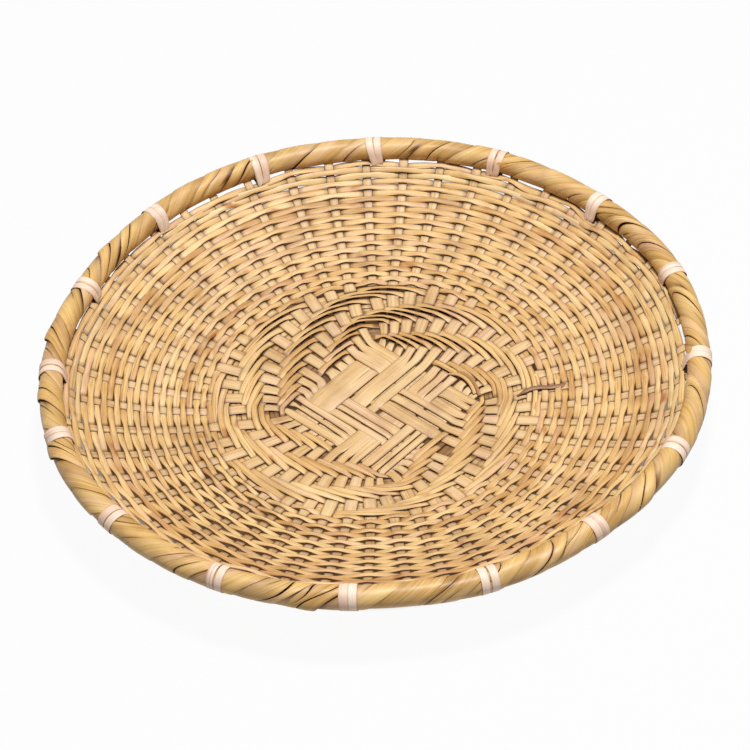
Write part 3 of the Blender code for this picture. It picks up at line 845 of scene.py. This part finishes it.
# %% Make the strips
for way in range(2):
    for place in range(STRIPS_EACH_WAY):
        number = way * STRIPS_EACH_WAY + place + 1
        make_piece(f"strip_and_stakes_{number}", [strip_band(way, place, arm) for arm in range(ARMS)],
                   STAKE_FINISH, [f"base_strip_{number}"])

# %% [markdown]
# ## The base weavers
#
# One thin strip spirals clockwise and outwards. On the base it floats over three stakes and under three,
# which gives the slanting chevrons. Its line is a formula of the number of stakes that it has passed: the
# number gives the place round the basket and the place across the base, and a wave gives the side that it is
# on. New laths are laid in as the old ones run out, so the tone changes every metre or so. Three ends of
# laths were left long and lie on the weave.

# %% Helpers for weavers
SAMPLES = 11  # rows of the ribbon from one stake to the next


def lath_values(run, lath_length, seed):
    """For each place along a weaver: the tone and the seed of the lath that lies there."""
    number = np.floor(run / lath_length + 0.37).astype(int)
    rng = np.random.default_rng(seed)
    tones = rng.normal(0.48, 0.15, number.max() + 1)
    return np.clip(tones, 0.15, 0.85)[number], 17.0 + 3.1 * number + seed


def cut_in_pieces(count, name, stands_for, step, line, outwards, half, tilt, tone, seed, shade, ends=()):
    """Makes this many pieces from one long weaver, each starting where the one before it ends.

    The loose ends of laths belong to the last piece.
    """
    run = run_along(line)
    cuts = np.linspace(0, len(step) - 1, count + 1).astype(int)
    for number in range(count):
        part = slice(cuts[number], cuts[number + 1] + 1)
        band = ribbon(line[part], outwards[part], half[part], WEAVER_THICK, tone[part], seed[part],
                      crown=0.02 * MM, tilt=tilt[part], start=run[cuts[number]], shade=shade[part])
        bands = [band, *ends] if number == count - 1 else [band]
        make_piece(f"{name}_{number + 1}", bands, WEAVER_FINISH, [f"{stands_for}_{number + 1}"])


def painted_shade_at_stakes(step, spacing, under, strength):
    """How much painted shade a weaver gets next to the stakes that it dives under."""
    edge = np.abs(step - np.round(step)) * spacing - STAKE_WIDE / 2
    return strength * hump(np.maximum(edge, 0), 0, 0.9 * MM) * under[np.round(step).astype(int)]


print("the base weaver passes", TWILL_ROUNDS * COUNT, "stakes, the wall weaver", WALL_ROUNDS * COUNT)

# %% Ends of laths that lie on the weave
# Where laths end on the base: the points they pass through, half of their width, tone, seed and how brown
# they are.
BASE_ENDS = (
    (((66, -5.6, 4.6), (69, -5, 6.3), (72, -3.2, 6.6), (77, -3.0, 6.9), (82.5, -4.4, 7.2), (88, -3.2, 7.6),
      (91, -3, 6.6)), 1.1 * MM, 0.0, 201.0, 0.62),
    (((35.0, 15.6, 1.6), (38.0, 14.4, 3.4), (41.8, 11.4, 3.9), (44.4, 7.6, 3.9), (46.0, 3.6, 3.3),
      (46.6, 0.8, 2.0)),
     0.9 * MM, 0.35, 205.0, 0.1),
    (((37.6, 17.2, 1.8), (41.0, 14.6, 3.6), (44.6, 10.6, 4.2), (46.8, 6.2, 4.1), (48.2, 2.0, 3.2),
      (48.6, -0.8, 2.2)),
     0.8 * MM, 0.15, 209.0, 0.3),
)


def laid_on_top(knots, half, tone, seed, shade):
    """A short end of a strip that lies on the weave, through these points in mm."""
    points = resampled(np.array(knots, float) * MM, 0.8 * MM)
    line = smoothed(points, 3.0)
    heading = np.gradient(line, axis=0)
    sideways = np.stack([-heading[:, 1], heading[:, 0], 0 * heading[:, 0]], -1)
    taper = np.clip(np.linspace(0, 1, len(line)) * 6, 0.4, 1)
    return ribbon(line, sideways, half * taper, WEAVER_THICK, tone, seed, shade=shade, tilt=0.2 * MM)


LAID_ENDS = [laid_on_top(knots, *look) for knots, *look in BASE_ENDS]
print(len(LAID_ENDS), "ends, with", [len(grid) for grid, *_ in LAID_ENDS], "rows")

# %% Make the base weavers
BASE_PIECES = 4
BASE_LATH = 0.83  # metres
BASE_LOWEST = 0.36 * MM


def base_weaver():
    """The whole spiral over the base, cut in pieces."""
    step = np.arange(SAMPLES, TWILL_ROUNDS * COUNT * SAMPLES - SAMPLES) / SAMPLES
    degrees = in_degrees(FIRST_STAKE - step * STEP)
    share = twill_share(step)
    pitch = (1 - TWILL_START) / (TWILL_ROUNDS + 1)
    # At the back the rounds stand on edge a little: they are narrower there, and the outer ones have moved
    # inwards.
    back = hump(degrees, 95, 52, 4)
    drift = wander(11, step, 31.0, 0.10) - 0.3 * back * smooth_step((share - 0.7) / 0.2)
    side = twill_side(step)
    middle = base_point(share + pitch * drift, -step)
    inner, outer = (base_point(share + pitch * (drift + move), -step) for move in (-0.5, 0.5))
    outwards = outer - inner
    pitch_here = np.linalg.norm(outwards, axis=-1)
    # In front the last round is a wider lath, which laps over the rounds beside it.
    front = hump(degrees, 243, 38, 4) * smooth_step((share - 0.925) / 0.02)
    above = np.maximum(side, 0)
    half = pitch_here * (0.53 + wander(13, step, 23.0, 0.04) - 0.18 * back * above + 0.33 * front * above)
    lift = np.where(side > 0, 1.1 + 0.14 * back + 0.25 * front, 0.8) * MM * (1 + wander(12, step, 3.7, 0.12))
    line = middle.copy()
    line[:, 2] += side * lift
    line = smoothed(line, 1.8)
    line[:, 2] = np.maximum(line[:, 2], BASE_LOWEST)
    tone, seed = lath_values(run_along(line), BASE_LATH, 5)
    # The floats that lie over the stakes at the back are made darker.
    tone = tone - 0.12 * above * back
    tilt = (-0.24 * above * (0.6 + 0.9 * back) + wander(14, step, 2.9, 0.07)) * MM
    under = twill_side(np.arange(TWILL_ROUNDS * COUNT + 2)) < 0
    spacing = STEP * np.linalg.norm(line[:, :2], axis=-1)
    # The base weaver carries painted shade next to the stakes that it dives under.
    cut_in_pieces(BASE_PIECES, "base_round", "base_weaver", step, line, outwards, half, tilt, tone, seed,
                  painted_shade_at_stakes(step, spacing, under, 0.75), LAID_ENDS)


base_weaver()

# %% [markdown]
# ## The wall weavers
#
# On the wall the strip goes over one stake and under one. It is made as on the base, but its waves change
# round the basket: at the back it lies nearly flat between the stakes and dips behind each second one, while
# in front it swings evenly to both sides, and looks like a row of beads. The rounds lap a little over each
# other, and their widths waver.

# %% Make the wall weavers
WALL_PIECES = 8
WALL_LATH = 1.07  # metres


def wall_weaver():
    """The whole spiral up the wall, cut in pieces."""
    step = np.arange(0, WALL_ROUNDS * COUNT * SAMPLES + 1) / SAMPLES
    share = step / COUNT / WALL_ROUNDS
    length = round_length(step)
    spacing = STEP * np.interp(length, line_length, line_r)
    angle = bearing(-step, share)
    # It comes up close to a stake on the side towards the front, and leaves a small hollow behind the stake.
    late = step + 0.10 * np.cos(angle)
    side, crossing = wall_side(late, spacing), np.maximum(np.cos(math.pi * late), 0)
    degrees = in_degrees(angle)
    front, back = hump(degrees, 258, 62, 4), hump(degrees, 90, 50, 4)
    # It lies nearly flat between the stakes at the back, and waves more in front.
    flat = np.where(side > 0, 0.24 + 0.70 * crossing**2, 0.85) * side
    waves = 0.85 * front + (1 - front) * (0.3 - 0.2 * back)
    lift = (flat + waves * (0.95 * np.cos(math.pi * late) - flat)) * (1 + wander(23, step, 5.3, 0.10)) * MM
    line = smoothed(on_wall(length, angle, lift), 0.8)
    outwards = on_wall(length + MM, angle, lift) - on_wall(length - MM, angle, lift)
    # The strip is widest between the stakes, where it laps over its neighbour, and it presses narrow over
    # them.
    narrow = 0.34 * crossing**2.5 + 0.04 * np.minimum(side, 0) ** 2 + 0.12 * front
    # In front, on the left, the lower rounds are thin and loose, and the shade under them shows.
    narrow = narrow + 0.20 * hump(degrees, 226, 36) * smooth_step((0.8 - share) / 0.3)
    half = WALL_PITCH / 2 * (1.10 - narrow + wander(24, step, 29.0, 0.06) + wander(26, step, 3.1, 0.05))
    tone, seed = lath_values(run_along(line), WALL_LATH, 9)
    tone = tone + wander(27, step, 2.3, 0.09)
    tilt = (-0.07 - 0.14 * front + wander(25, step, 3.3, 0.07)) * MM
    under = wall_side(np.arange(WALL_ROUNDS * COUNT + 2)) < 0
    # The painted shade is stronger in the hollow behind a stake than in front of it.
    strength = np.clip(0.5 - 0.55 * np.sign(step - np.round(step)) * np.cos(angle), 0.1, 1)
    cut_in_pieces(WALL_PIECES, "wall_round", "wall_weaver", step, line, outwards, half, tilt, tone, seed,
                  painted_shade_at_stakes(step, spacing, under, strength))


wall_weaver()

# %% [markdown]
# ## The wound rim
#
# A hoop goes round the top of the weave, and two wide shaved strips are wound on it side by side. Each turn
# laps a little over the one before, so one edge of it stands proud and shows as a thin dark line that runs
# slantwise over the roll. The strips have also split here and there, and a few edges have lifted. The roll
# could be a torus with painted lines, but real lapped edges catch the light and break the outline as they
# should.

# %% Points round the rim
WRAP_STRIPS = 2
WRAP_TURNS = 24
WRAP_THICK = 0.5 * MM
LAP = 0.34 * MM  # how much higher the upper edge of a turn lies than its tucked edge
TURN_SAMPLES = 36
WRAP_PITCH = 2 * math.pi / WRAP_TURNS / WRAP_STRIPS  # from one turn to the next, as an angle round the rim


def rim_point(along, around, radius):
    """A point round the rim's centre line. around is 0 on the outside and grows over the top."""
    out = RIM_RADIUS + out_of_round(along) + radius * np.cos(around)
    return np.stack([out * np.cos(along), out * np.sin(along), RIM_HEIGHT + radius * np.sin(around)], -1)


def rim_normal(along, around):
    """The direction straight out of the roll at this place."""
    along, around = np.broadcast_arrays(along, around)
    return np.stack([np.cos(around) * np.cos(along), np.cos(around) * np.sin(along), np.sin(around)], -1)


def wrapped(angle):
    """The same angle between half a turn back and half a turn on."""
    return np.angle(np.exp(1j * angle))


def wound_line(strip):
    """The middle of a strip as it is wound: how far round the roll it is, and how far round the rim."""
    around = 2 * math.pi * np.arange(WRAP_TURNS * TURN_SAMPLES + 1) / TURN_SAMPLES
    way = around / WRAP_TURNS
    # A strip that is pulled tight lies straight over the part of the roll that faces up and to the front.
    straight = 1.5 * MM / RIM_RADIUS * np.sin(2 * (around - np.radians(90 + 46 * np.sin(way))))
    return around, strip * WRAP_PITCH + way + straight + WRAP_PITCH * wander(31 + strip, way, 0.9, 0.12)


print("a turn every", round(WRAP_PITCH * RIM_RADIUS / MM, 1), "mm along the rim")

# %% Edges that have sprung up
# Where an edge has sprung up: round the rim and round the roll, in degrees, and how far in mm.
LIFTED = (
    (119, 132, 2.1), (142, 130, 2.1), (150, 60, 0.9), (172, 30, 1.2), (186, 35, 1.5), (202, 15, 1.5),
    (252, 40, 0.9), (257, 338, 1.0), (7, 88, 1.9), (21, 100, 1.5), (32, 125, 1.4), (75, 135, 1.2),
    (297, 45, 1.6), (321, 45, 1.5),
)
FIRST_EDGE, LAST_EDGE = -0.52, 0.60  # where a strip's two edges lie, counted in pitches from its middle


def lifted_edges():
    """For each place in LIFTED: the strip whose upper edge is nearest, and where that edge is."""
    found = []
    for place, turn, height in LIFTED:
        options = []
        for strip in range(WRAP_STRIPS):
            around, centre = wound_line(strip)
            rows = np.arange(WRAP_TURNS) * TURN_SAMPLES + round(turn / 360 * TURN_SAMPLES)
            edge = centre[rows] + LAST_EDGE * WRAP_PITCH
            away = np.abs(wrapped(edge - math.radians(place)))
            nearest = away.argmin()
            options.append((away[nearest], strip, around[rows[nearest]], edge[nearest], height))
        found.append(min(options)[1:])
    return found


LIFTS = lifted_edges()
print(len(LIFTS), "edges have sprung up, the highest by", max(lift[-1] for lift in LIFTS), "mm")

# %% One part of a wound strip
ROLL_TOP = 6.85 * MM  # no edge springs up further than this above the roll's middle
WRAP_COLUMNS = np.array([0, 0.12, 0.5, 0.88, 1])  # shares of the way across a part
WRAP_EASED = np.array([0.5, 0.95, 1.05, 0.95, 0.5])  # its thickness there


def wrap_band(strip, part):
    """One part of a wound strip. The parts touch, or stand apart where the strip has split lengthwise."""
    around, centre = wound_line(strip)
    way = around / WRAP_TURNS
    splits = (-0.14 + wander(35 + strip, way, 0.5, 0.10), 0.20 + wander(36 + strip, way, 0.4, 0.10))
    marks = [FIRST_EDGE, *splits, LAST_EDGE]
    marks = [np.broadcast_to(mark, way.shape) * WRAP_PITCH for mark in marks]
    opens = [np.clip(wander(seed + strip, way, 0.8, 1.0) - 0.25, 0, 1) * 0.9 * MM / RIM_RADIUS
             for seed in (37, 43)]
    for lifted_strip, lifted_turn, _, height in LIFTS:
        if strip == lifted_strip:
            off = wrapped((around - lifted_turn) / WRAP_TURNS) * WRAP_TURNS / 1.2
            opens[1] = opens[1] + 0.6 * height * MM / RIM_RADIUS * np.exp(-off**2)
    opens = [0 * way, *opens, 0 * way]
    first, last = marks[part] + opens[part] / 2, marks[part + 1] - opens[part + 1] / 2
    across = first[:, None] + (last - first)[:, None] * WRAP_COLUMNS
    along = centre[:, None] + across
    climb = (across - marks[0][:, None]) / (marks[-1] - marks[0])[:, None]
    uneven = 0.16 * MM * wander(39 + strip, centre, 0.31, 1.0)
    radius = ROLL_RADIUS - WRAP_THICK / 2 - LAP * (1 - smooth_step(climb * 1.6)) + uneven[:, None]
    # Painted shade darkens each turn towards the edge that is tucked in, most of all right under the lapped
    # edge.
    shade = np.maximum(0.8 * np.exp(-((climb * 19 / 1.1) ** 2)), 0.32 * (1 - climb) ** 1.6)
    for lifted_strip, lifted_turn, lifted_place, height in LIFTS:
        if strip == lifted_strip:
            off = wrapped((around - lifted_turn) / WRAP_TURNS) * WRAP_TURNS / 0.75
            radius = radius + height * MM * np.exp(-off**2)[:, None] * smooth_step((climb - 0.35) / 0.65)
        # Next to a lifted edge the turn beside it lies in its shade.
        far = wrapped(along - lifted_place) * RIM_RADIUS / (7 * MM)
        off = wrapped(around - lifted_turn)[:, None] / 0.9
        under = np.exp(-far**2 - off**2) * (1 - smooth_step((climb - 0.14) / 0.12))
        shade = np.maximum(shade, np.minimum(height * under, 1))
    radius = np.minimum(radius, ROLL_TOP / np.maximum(np.sin(around), 0.5)[:, None])
    low = np.ones(len(way)) if part == 0 else np.clip(opens[part] * RIM_RADIUS / (0.15 * MM), 0, 1)
    high = np.ones(len(way)) if part == 2 else np.clip(opens[part + 1] * RIM_RADIUS / (0.15 * MM), 0, 1)
    eased = np.stack([low, low, (low + high) / 2, high, high], -1)
    spread = WRAP_THICK / 2 * (1 - (1 - WRAP_EASED) * eased)
    run = np.broadcast_to((around * ROLL_RADIUS * 1.4)[:, None], along.shape)
    values = np.stack([run, across * RIM_RADIUS, np.full(along.shape, 40.0 + strip * 7)], -1)
    turn_number = np.floor((around + 1.9) / (2 * math.pi))
    tone = 0.52 + wander(41 + strip, around, 9.0, 0.10) + 0.08 * np.sin(5.1 * turn_number + 2 * strip)
    around = around[:, None]
    return (rim_point(along, around, radius), rim_normal(along, around) * spread[..., None], values,
            np.broadcast_to(tone[:, None], along.shape), (WRAP_COLUMNS * 2 - 1) * eased, shade)


print("a wound strip runs", WRAP_TURNS, "turns, with", TURN_SAMPLES, "rows in each")

# %% Make the hoop and its wound strips
def hoop_ring():
    """The hoop inside the winding, as one flat-ended band rolled to a tube."""
    along = np.linspace(0, 2 * math.pi, 361)[:, None]
    around = np.linspace(0, 2 * math.pi, 17)[None]
    along, around = np.broadcast_arrays(along, around)
    radius = np.full(along.shape, ROLL_RADIUS - WRAP_THICK - LAP - 0.9 * MM)
    values = np.stack([along * RIM_RADIUS, around * radius, np.full(along.shape, 77.0)], -1)
    flat = np.zeros(along.shape)
    points, spread = rim_point(along, around, radius), rim_normal(along, around) * 0.4 * MM
    return points, spread, values, flat + 0.5, flat, flat


make_piece("hoop", [hoop_ring()], CORE_FINISH, ["rim_core"])
for strip in range(WRAP_STRIPS):
    make_piece(f"wound_strip_{strip + 1}", [wrap_band(strip, part) for part in range(3)], WRAP_FINISH,
               [f"rim_wrap_{strip + 1}"])

# %% [markdown]
# ## The ties
#
# Sixteen narrow pale bands bind the rim to the top of the weave. Each goes twice round the roll and the last
# round of the weave, through one gap between two stakes. Its line is worked out flat, in the plane that cuts
# the rim at that place: a straight run up from the gap, the arc over the roll, and a straight run back. The
# two turns lie side by side on the roll and draw together in the gap.

# %% The line of a tie
LOOP_SAMPLES = 44
CLEAR_OF_ROLL = 0.25 * MM


def tie_loop(place, angle):
    """One turn of a tie in its radial plane, as radii and heights, from the gap over the outside and back."""
    centre = np.array([RIM_RADIUS + out_of_round(angle), RIM_HEIGHT])
    gap = on_wall(round_length(WALL_ROUNDS * COUNT - place) - WALL_PITCH * 0.3, angle)
    gap = np.array([math.hypot(gap[0], gap[1]), gap[2]])
    out = gap - centre
    reach = ROLL_RADIUS + CLEAR_OF_ROLL
    swing = math.acos(reach / np.linalg.norm(out))
    heading = math.atan2(out[1], out[0])
    turns = np.linspace(heading + swing, heading - swing + 2 * math.pi, LOOP_SAMPLES)
    arc = centre + reach * np.stack([np.cos(turns), np.sin(turns)], -1)
    return resampled(np.concatenate([[gap], arc, [gap]]), 0.9 * MM)


print("one turn of a tie:", round(run_along(tie_loop(1.5, bearing(1.5, 1.0)))[-1] / MM, 1), "mm long")

# %% One tie
TIE_WIDE = 3.9 * MM
TIE_THICK = 0.4 * MM
FIRST_TIE = 1.5  # its place, counted in stakes
# How far round the roll each tie has moved off the middle of its gap, in mm.
TIE_SHIFTS = (-7, -2, 1, 7, 3, 5, 6, 2, 7, 7, 5, 4, 4, -2, -2, -3)
FREE_IN_GAP = 4.5 * MM  # it can only follow so far in the gap itself, and the rest makes it lean


def tie_ribbon(number):
    """Both turns of a tie as one ribbon, side by side on the roll and drawn together in the gap."""
    place = math.ceil(number * COUNT / TIES - 0.5) + FIRST_TIE
    rng = np.random.default_rng(70 + number)
    shift = TIE_SHIFTS[number] * MM
    in_gap = min(max(shift, -FREE_IN_GAP), FREE_IN_GAP)
    angle = bearing(place, 1.0) + in_gap / RIM_RADIUS
    loop = tie_loop(place, angle)
    turns = np.concatenate([loop[:-1], loop])
    along = np.linspace(0, 2, len(turns))
    spread = np.abs(np.sin(math.pi * along)) ** 0.6
    middle = (np.where(along < 1, -0.5, 0.5)) * (0.62 + 0.42 * spread) * TIE_WIDE
    middle = smoothed(middle, 1.6) + rng.uniform(-0.12, 0.12) * TIE_WIDE * (along - 1)
    lean = (shift - in_gap) / (2 * ROLL_RADIUS) + rng.uniform(-0.06, 0.06)
    middle = middle + lean * (turns[:, 1] - RIM_HEIGHT)
    turns = smoothed(turns, 1.4)
    out = np.array([math.cos(angle), math.sin(angle), 0])
    aside = np.array([-math.sin(angle), math.cos(angle), 0])
    line = turns[:, :1] * out + middle[:, None] * aside
    line[:, 2] = turns[:, 1]
    half = TIE_WIDE / 2 * (0.80 + 0.20 * spread) * (1 + rng.uniform(-0.06, 0.06))
    return ribbon(line, np.broadcast_to(aside, line.shape), half, TIE_THICK, 0.55 + rng.uniform(-0.15, 0.2),
                  100.0 + number, crown=0.05 * MM)


print("a tie has", len(tie_ribbon(0)[0]), "rows")

# %% Make the ties
for number in range(TIES):
    make_piece(f"tie_{number + 1:02d}", [tie_ribbon(number)], TIE_FINISH, [f"rim_tie_{number + 1:02d}"])

# %% [markdown]
# ## The floor
#
# The basket stands on a plain white floor. A painted floor alone would come out grey at its far side, so half
# of what the camera sees of it is an even white glow, and away from the basket nearly all of it, while the
# paint holds the soft shadow at the rim. Under the basket both the paint and the glow are a painted brown
# shade, for there a real floor gets only light that has been through the bamboo. So the openings in the weave
# look through to a warm painted shade.

# %% The floor
def distance_mask(nodes, links, middle, near, far):
    """0 nearer to this place on the floor than near, 1 beyond far, and smooth in between."""
    place = nodes.new("ShaderNodeTexCoord")
    length = nodes.new("ShaderNodeVectorMath")
    length.operation = "DISTANCE"
    links.new(place.outputs["Object"], length.inputs[0])
    length.inputs[1].default_value = middle
    mask = nodes.new("ShaderNodeMapRange")
    mask.interpolation_type = "SMOOTHSTEP"
    mask.inputs["From Min"].default_value = near
    mask.inputs["From Max"].default_value = far
    links.new(length.outputs["Value"], mask.inputs["Value"])
    return mask.outputs["Result"]


FLOOR_LOW = 0.3 * MM  # just clear of the strips that rest on it
UNDER_MIDDLE = (0, 22 * MM, 0)  # the patch that the basket hides from the camera lies a little behind it
UNDER_REACH = (0.134, 0.147)  # where that patch ends, in metres
AWAY_REACH = (0.145, 0.150)  # where the open floor begins
# Under the basket both the paint and the glow are painted shade.
PAINT, SHADE_PAINT_UNDER = (0.55, 0.55, 0.55), (0.18, 0.11, 0.06)
GLOW, SHADE_GLOW_UNDER = (1, 1, 1), (0.15, 0.085, 0.04)
GLOW_SHARE, GLOW_SHARE_MORE = 0.5, 0.455  # of what is seen: everywhere, and as much again on the open floor
GLOW_STRENGTH = 0.995


def make_floor():
    """One large plane, painted, with a glow that only shows to the camera and in reflections."""
    bpy.ops.mesh.primitive_plane_add(size=4, location=(0, 0, -FLOOR_LOW))
    floor = bpy.context.object
    floor.name = "floor"
    material = bpy.data.materials.new("floor_paint")
    material.use_nodes = True
    nodes, links = material.node_tree.nodes, material.node_tree.links
    nodes.clear()
    output = nodes.new("ShaderNodeOutputMaterial")
    paint = nodes.new("ShaderNodeBsdfDiffuse")
    # Under the basket the paint and the glow are a painted brown shade, for the light that comes through the
    # weave.
    under = distance_mask(nodes, links, UNDER_MIDDLE, *UNDER_REACH)
    links.new(mix_node(nodes, links, under, SHADE_PAINT_UNDER, PAINT), paint.inputs["Color"])
    glow = nodes.new("ShaderNodeEmission")
    links.new(mix_node(nodes, links, under, SHADE_GLOW_UNDER, GLOW), glow.inputs["Color"])
    glow.inputs["Strength"].default_value = GLOW_STRENGTH
    # Away from the basket most of what is seen is plain white, and the rest is paint that holds the soft
    # shadow.
    away = distance_mask(nodes, links, UNDER_MIDDLE, *AWAY_REACH)
    away = math_node(nodes, links, "MULTIPLY", away, GLOW_SHARE_MORE)
    away = math_node(nodes, links, "ADD", away, GLOW_SHARE)
    ray = nodes.new("ShaderNodeLightPath")
    seen = math_node(nodes, links, "MAXIMUM", ray.outputs["Is Camera Ray"],
                     math_node(nodes, links, "MAXIMUM", ray.outputs["Is Glossy Ray"],
                               ray.outputs["Is Transmission Ray"]))
    blend = nodes.new("ShaderNodeMixShader")
    links.new(math_node(nodes, links, "MULTIPLY", seen, away), blend.inputs["Fac"])
    links.new(paint.outputs["BSDF"], blend.inputs[1])
    links.new(glow.outputs["Emission"], blend.inputs[2])
    links.new(blend.outputs["Shader"], output.inputs["Surface"])
    floor.data.materials.append(material)


make_floor()
print("share of glow seen on the open floor:", round(GLOW_SHARE + GLOW_SHARE_MORE, 3))

# %% [markdown]
# ## The light
#
# One soft lamp hangs high above the basket, a little to the right. It gives each strip a light and a shaded
# side, and shadows with soft edges. The surround is even and white and fills the shaded sides a little. The
# camera sees it at full strength, so that the picture ends in white wherever the floor doesn't reach.

# %% The light
FILL = 0.25  # strength of the surround for everything but the camera
LAMP_WIDE = 0.26  # metres across: a wider lamp makes softer shadows
LAMP_POWER = 22.6  # watts
LAMP_PLACE = (0.15, -0.03, 1.38)


def make_light():
    """The surround and the lamp, which points at the middle of the basket."""
    world = bpy.data.worlds.new("surround")
    bpy.context.scene.world = world
    world.use_nodes = True
    nodes, links = world.node_tree.nodes, world.node_tree.links
    fill = nodes["Background"]
    fill.inputs["Color"].default_value = (1, 1, 1, 1)
    fill.inputs["Strength"].default_value = FILL
    white = nodes.new("ShaderNodeBackground")
    white.inputs["Strength"].default_value = 1.0
    white.inputs["Color"].default_value = (1, 1, 1, 1)
    ray = nodes.new("ShaderNodeLightPath")
    blend = nodes.new("ShaderNodeMixShader")
    links.new(ray.outputs["Is Camera Ray"], blend.inputs["Fac"])
    links.new(fill.outputs["Background"], blend.inputs[1])
    links.new(white.outputs["Background"], blend.inputs[2])
    links.new(blend.outputs["Shader"], nodes["World Output"].inputs["Surface"])

    lamp = bpy.data.lights.new("soft_lamp", "AREA")
    lamp.shape = "DISK"
    lamp.size = LAMP_WIDE
    lamp.energy = LAMP_POWER
    lamp_object = bpy.data.objects.new("soft_lamp", lamp)
    bpy.context.scene.collection.objects.link(lamp_object)
    lamp_object.location = LAMP_PLACE
    down = Vector((0, 0, 0)) - lamp_object.location
    lamp_object.rotation_euler = down.to_track_quat("-Z", "Y").to_euler()


make_light()
bpy.context.scene.view_settings.view_transform = "Standard"
print("lamp:", round(Vector(LAMP_PLACE).length, 2), "m from the middle")

# %% [markdown]
# ## The camera
#
# The camera looks down at the basket from the front, from far away and through a long lens, so that the rim
# is nearly an even ellipse. It is rolled by a few degrees, as when a picture is taken by hand, and the basket
# lies a little off the middle of the picture, which the lens shift does without turning the view.

# %% The camera
CAMERA_RISE = math.radians(43.685)  # how steeply it looks down
CAMERA_ROLL = math.radians(4.34)
CAMERA_FAR = 1336.5 * MM  # from the middle of the rim
SENSOR_WIDE = 36  # mm
LENS = 139.06  # mm
SHIFT_IN_PICTURE = (-2.8 / 750, -19.5 / 750)  # shares of the picture's width


def make_camera():
    """The camera, from its three directions and its place."""
    back = Vector((0, -math.cos(CAMERA_RISE), math.sin(CAMERA_RISE)))
    right = Vector((1, 0, 0))
    up = back.cross(right)
    turned_right = right * math.cos(CAMERA_ROLL) - up * math.sin(CAMERA_ROLL)
    turned_up = right * math.sin(CAMERA_ROLL) + up * math.cos(CAMERA_ROLL)
    place = Vector((0, 0, RIM_HEIGHT)) + back * CAMERA_FAR
    data = bpy.data.cameras.new("camera")
    data.sensor_width = SENSOR_WIDE
    data.lens = LENS
    data.shift_x, data.shift_y = -SHIFT_IN_PICTURE[0], SHIFT_IN_PICTURE[1]
    data.clip_start = 0.01
    camera = bpy.data.objects.new("camera", data)
    bpy.context.scene.collection.objects.link(camera)
    camera.matrix_world = Matrix((
        (turned_right.x, turned_up.x, back.x, place.x),
        (turned_right.y, turned_up.y, back.y, place.y),
        (turned_right.z, turned_up.z, back.z, place.z),
        (0, 0, 0, 1),
    ))
    bpy.context.scene.camera = camera
    print("lens", round(data.lens, 1), "mm")


make_camera()
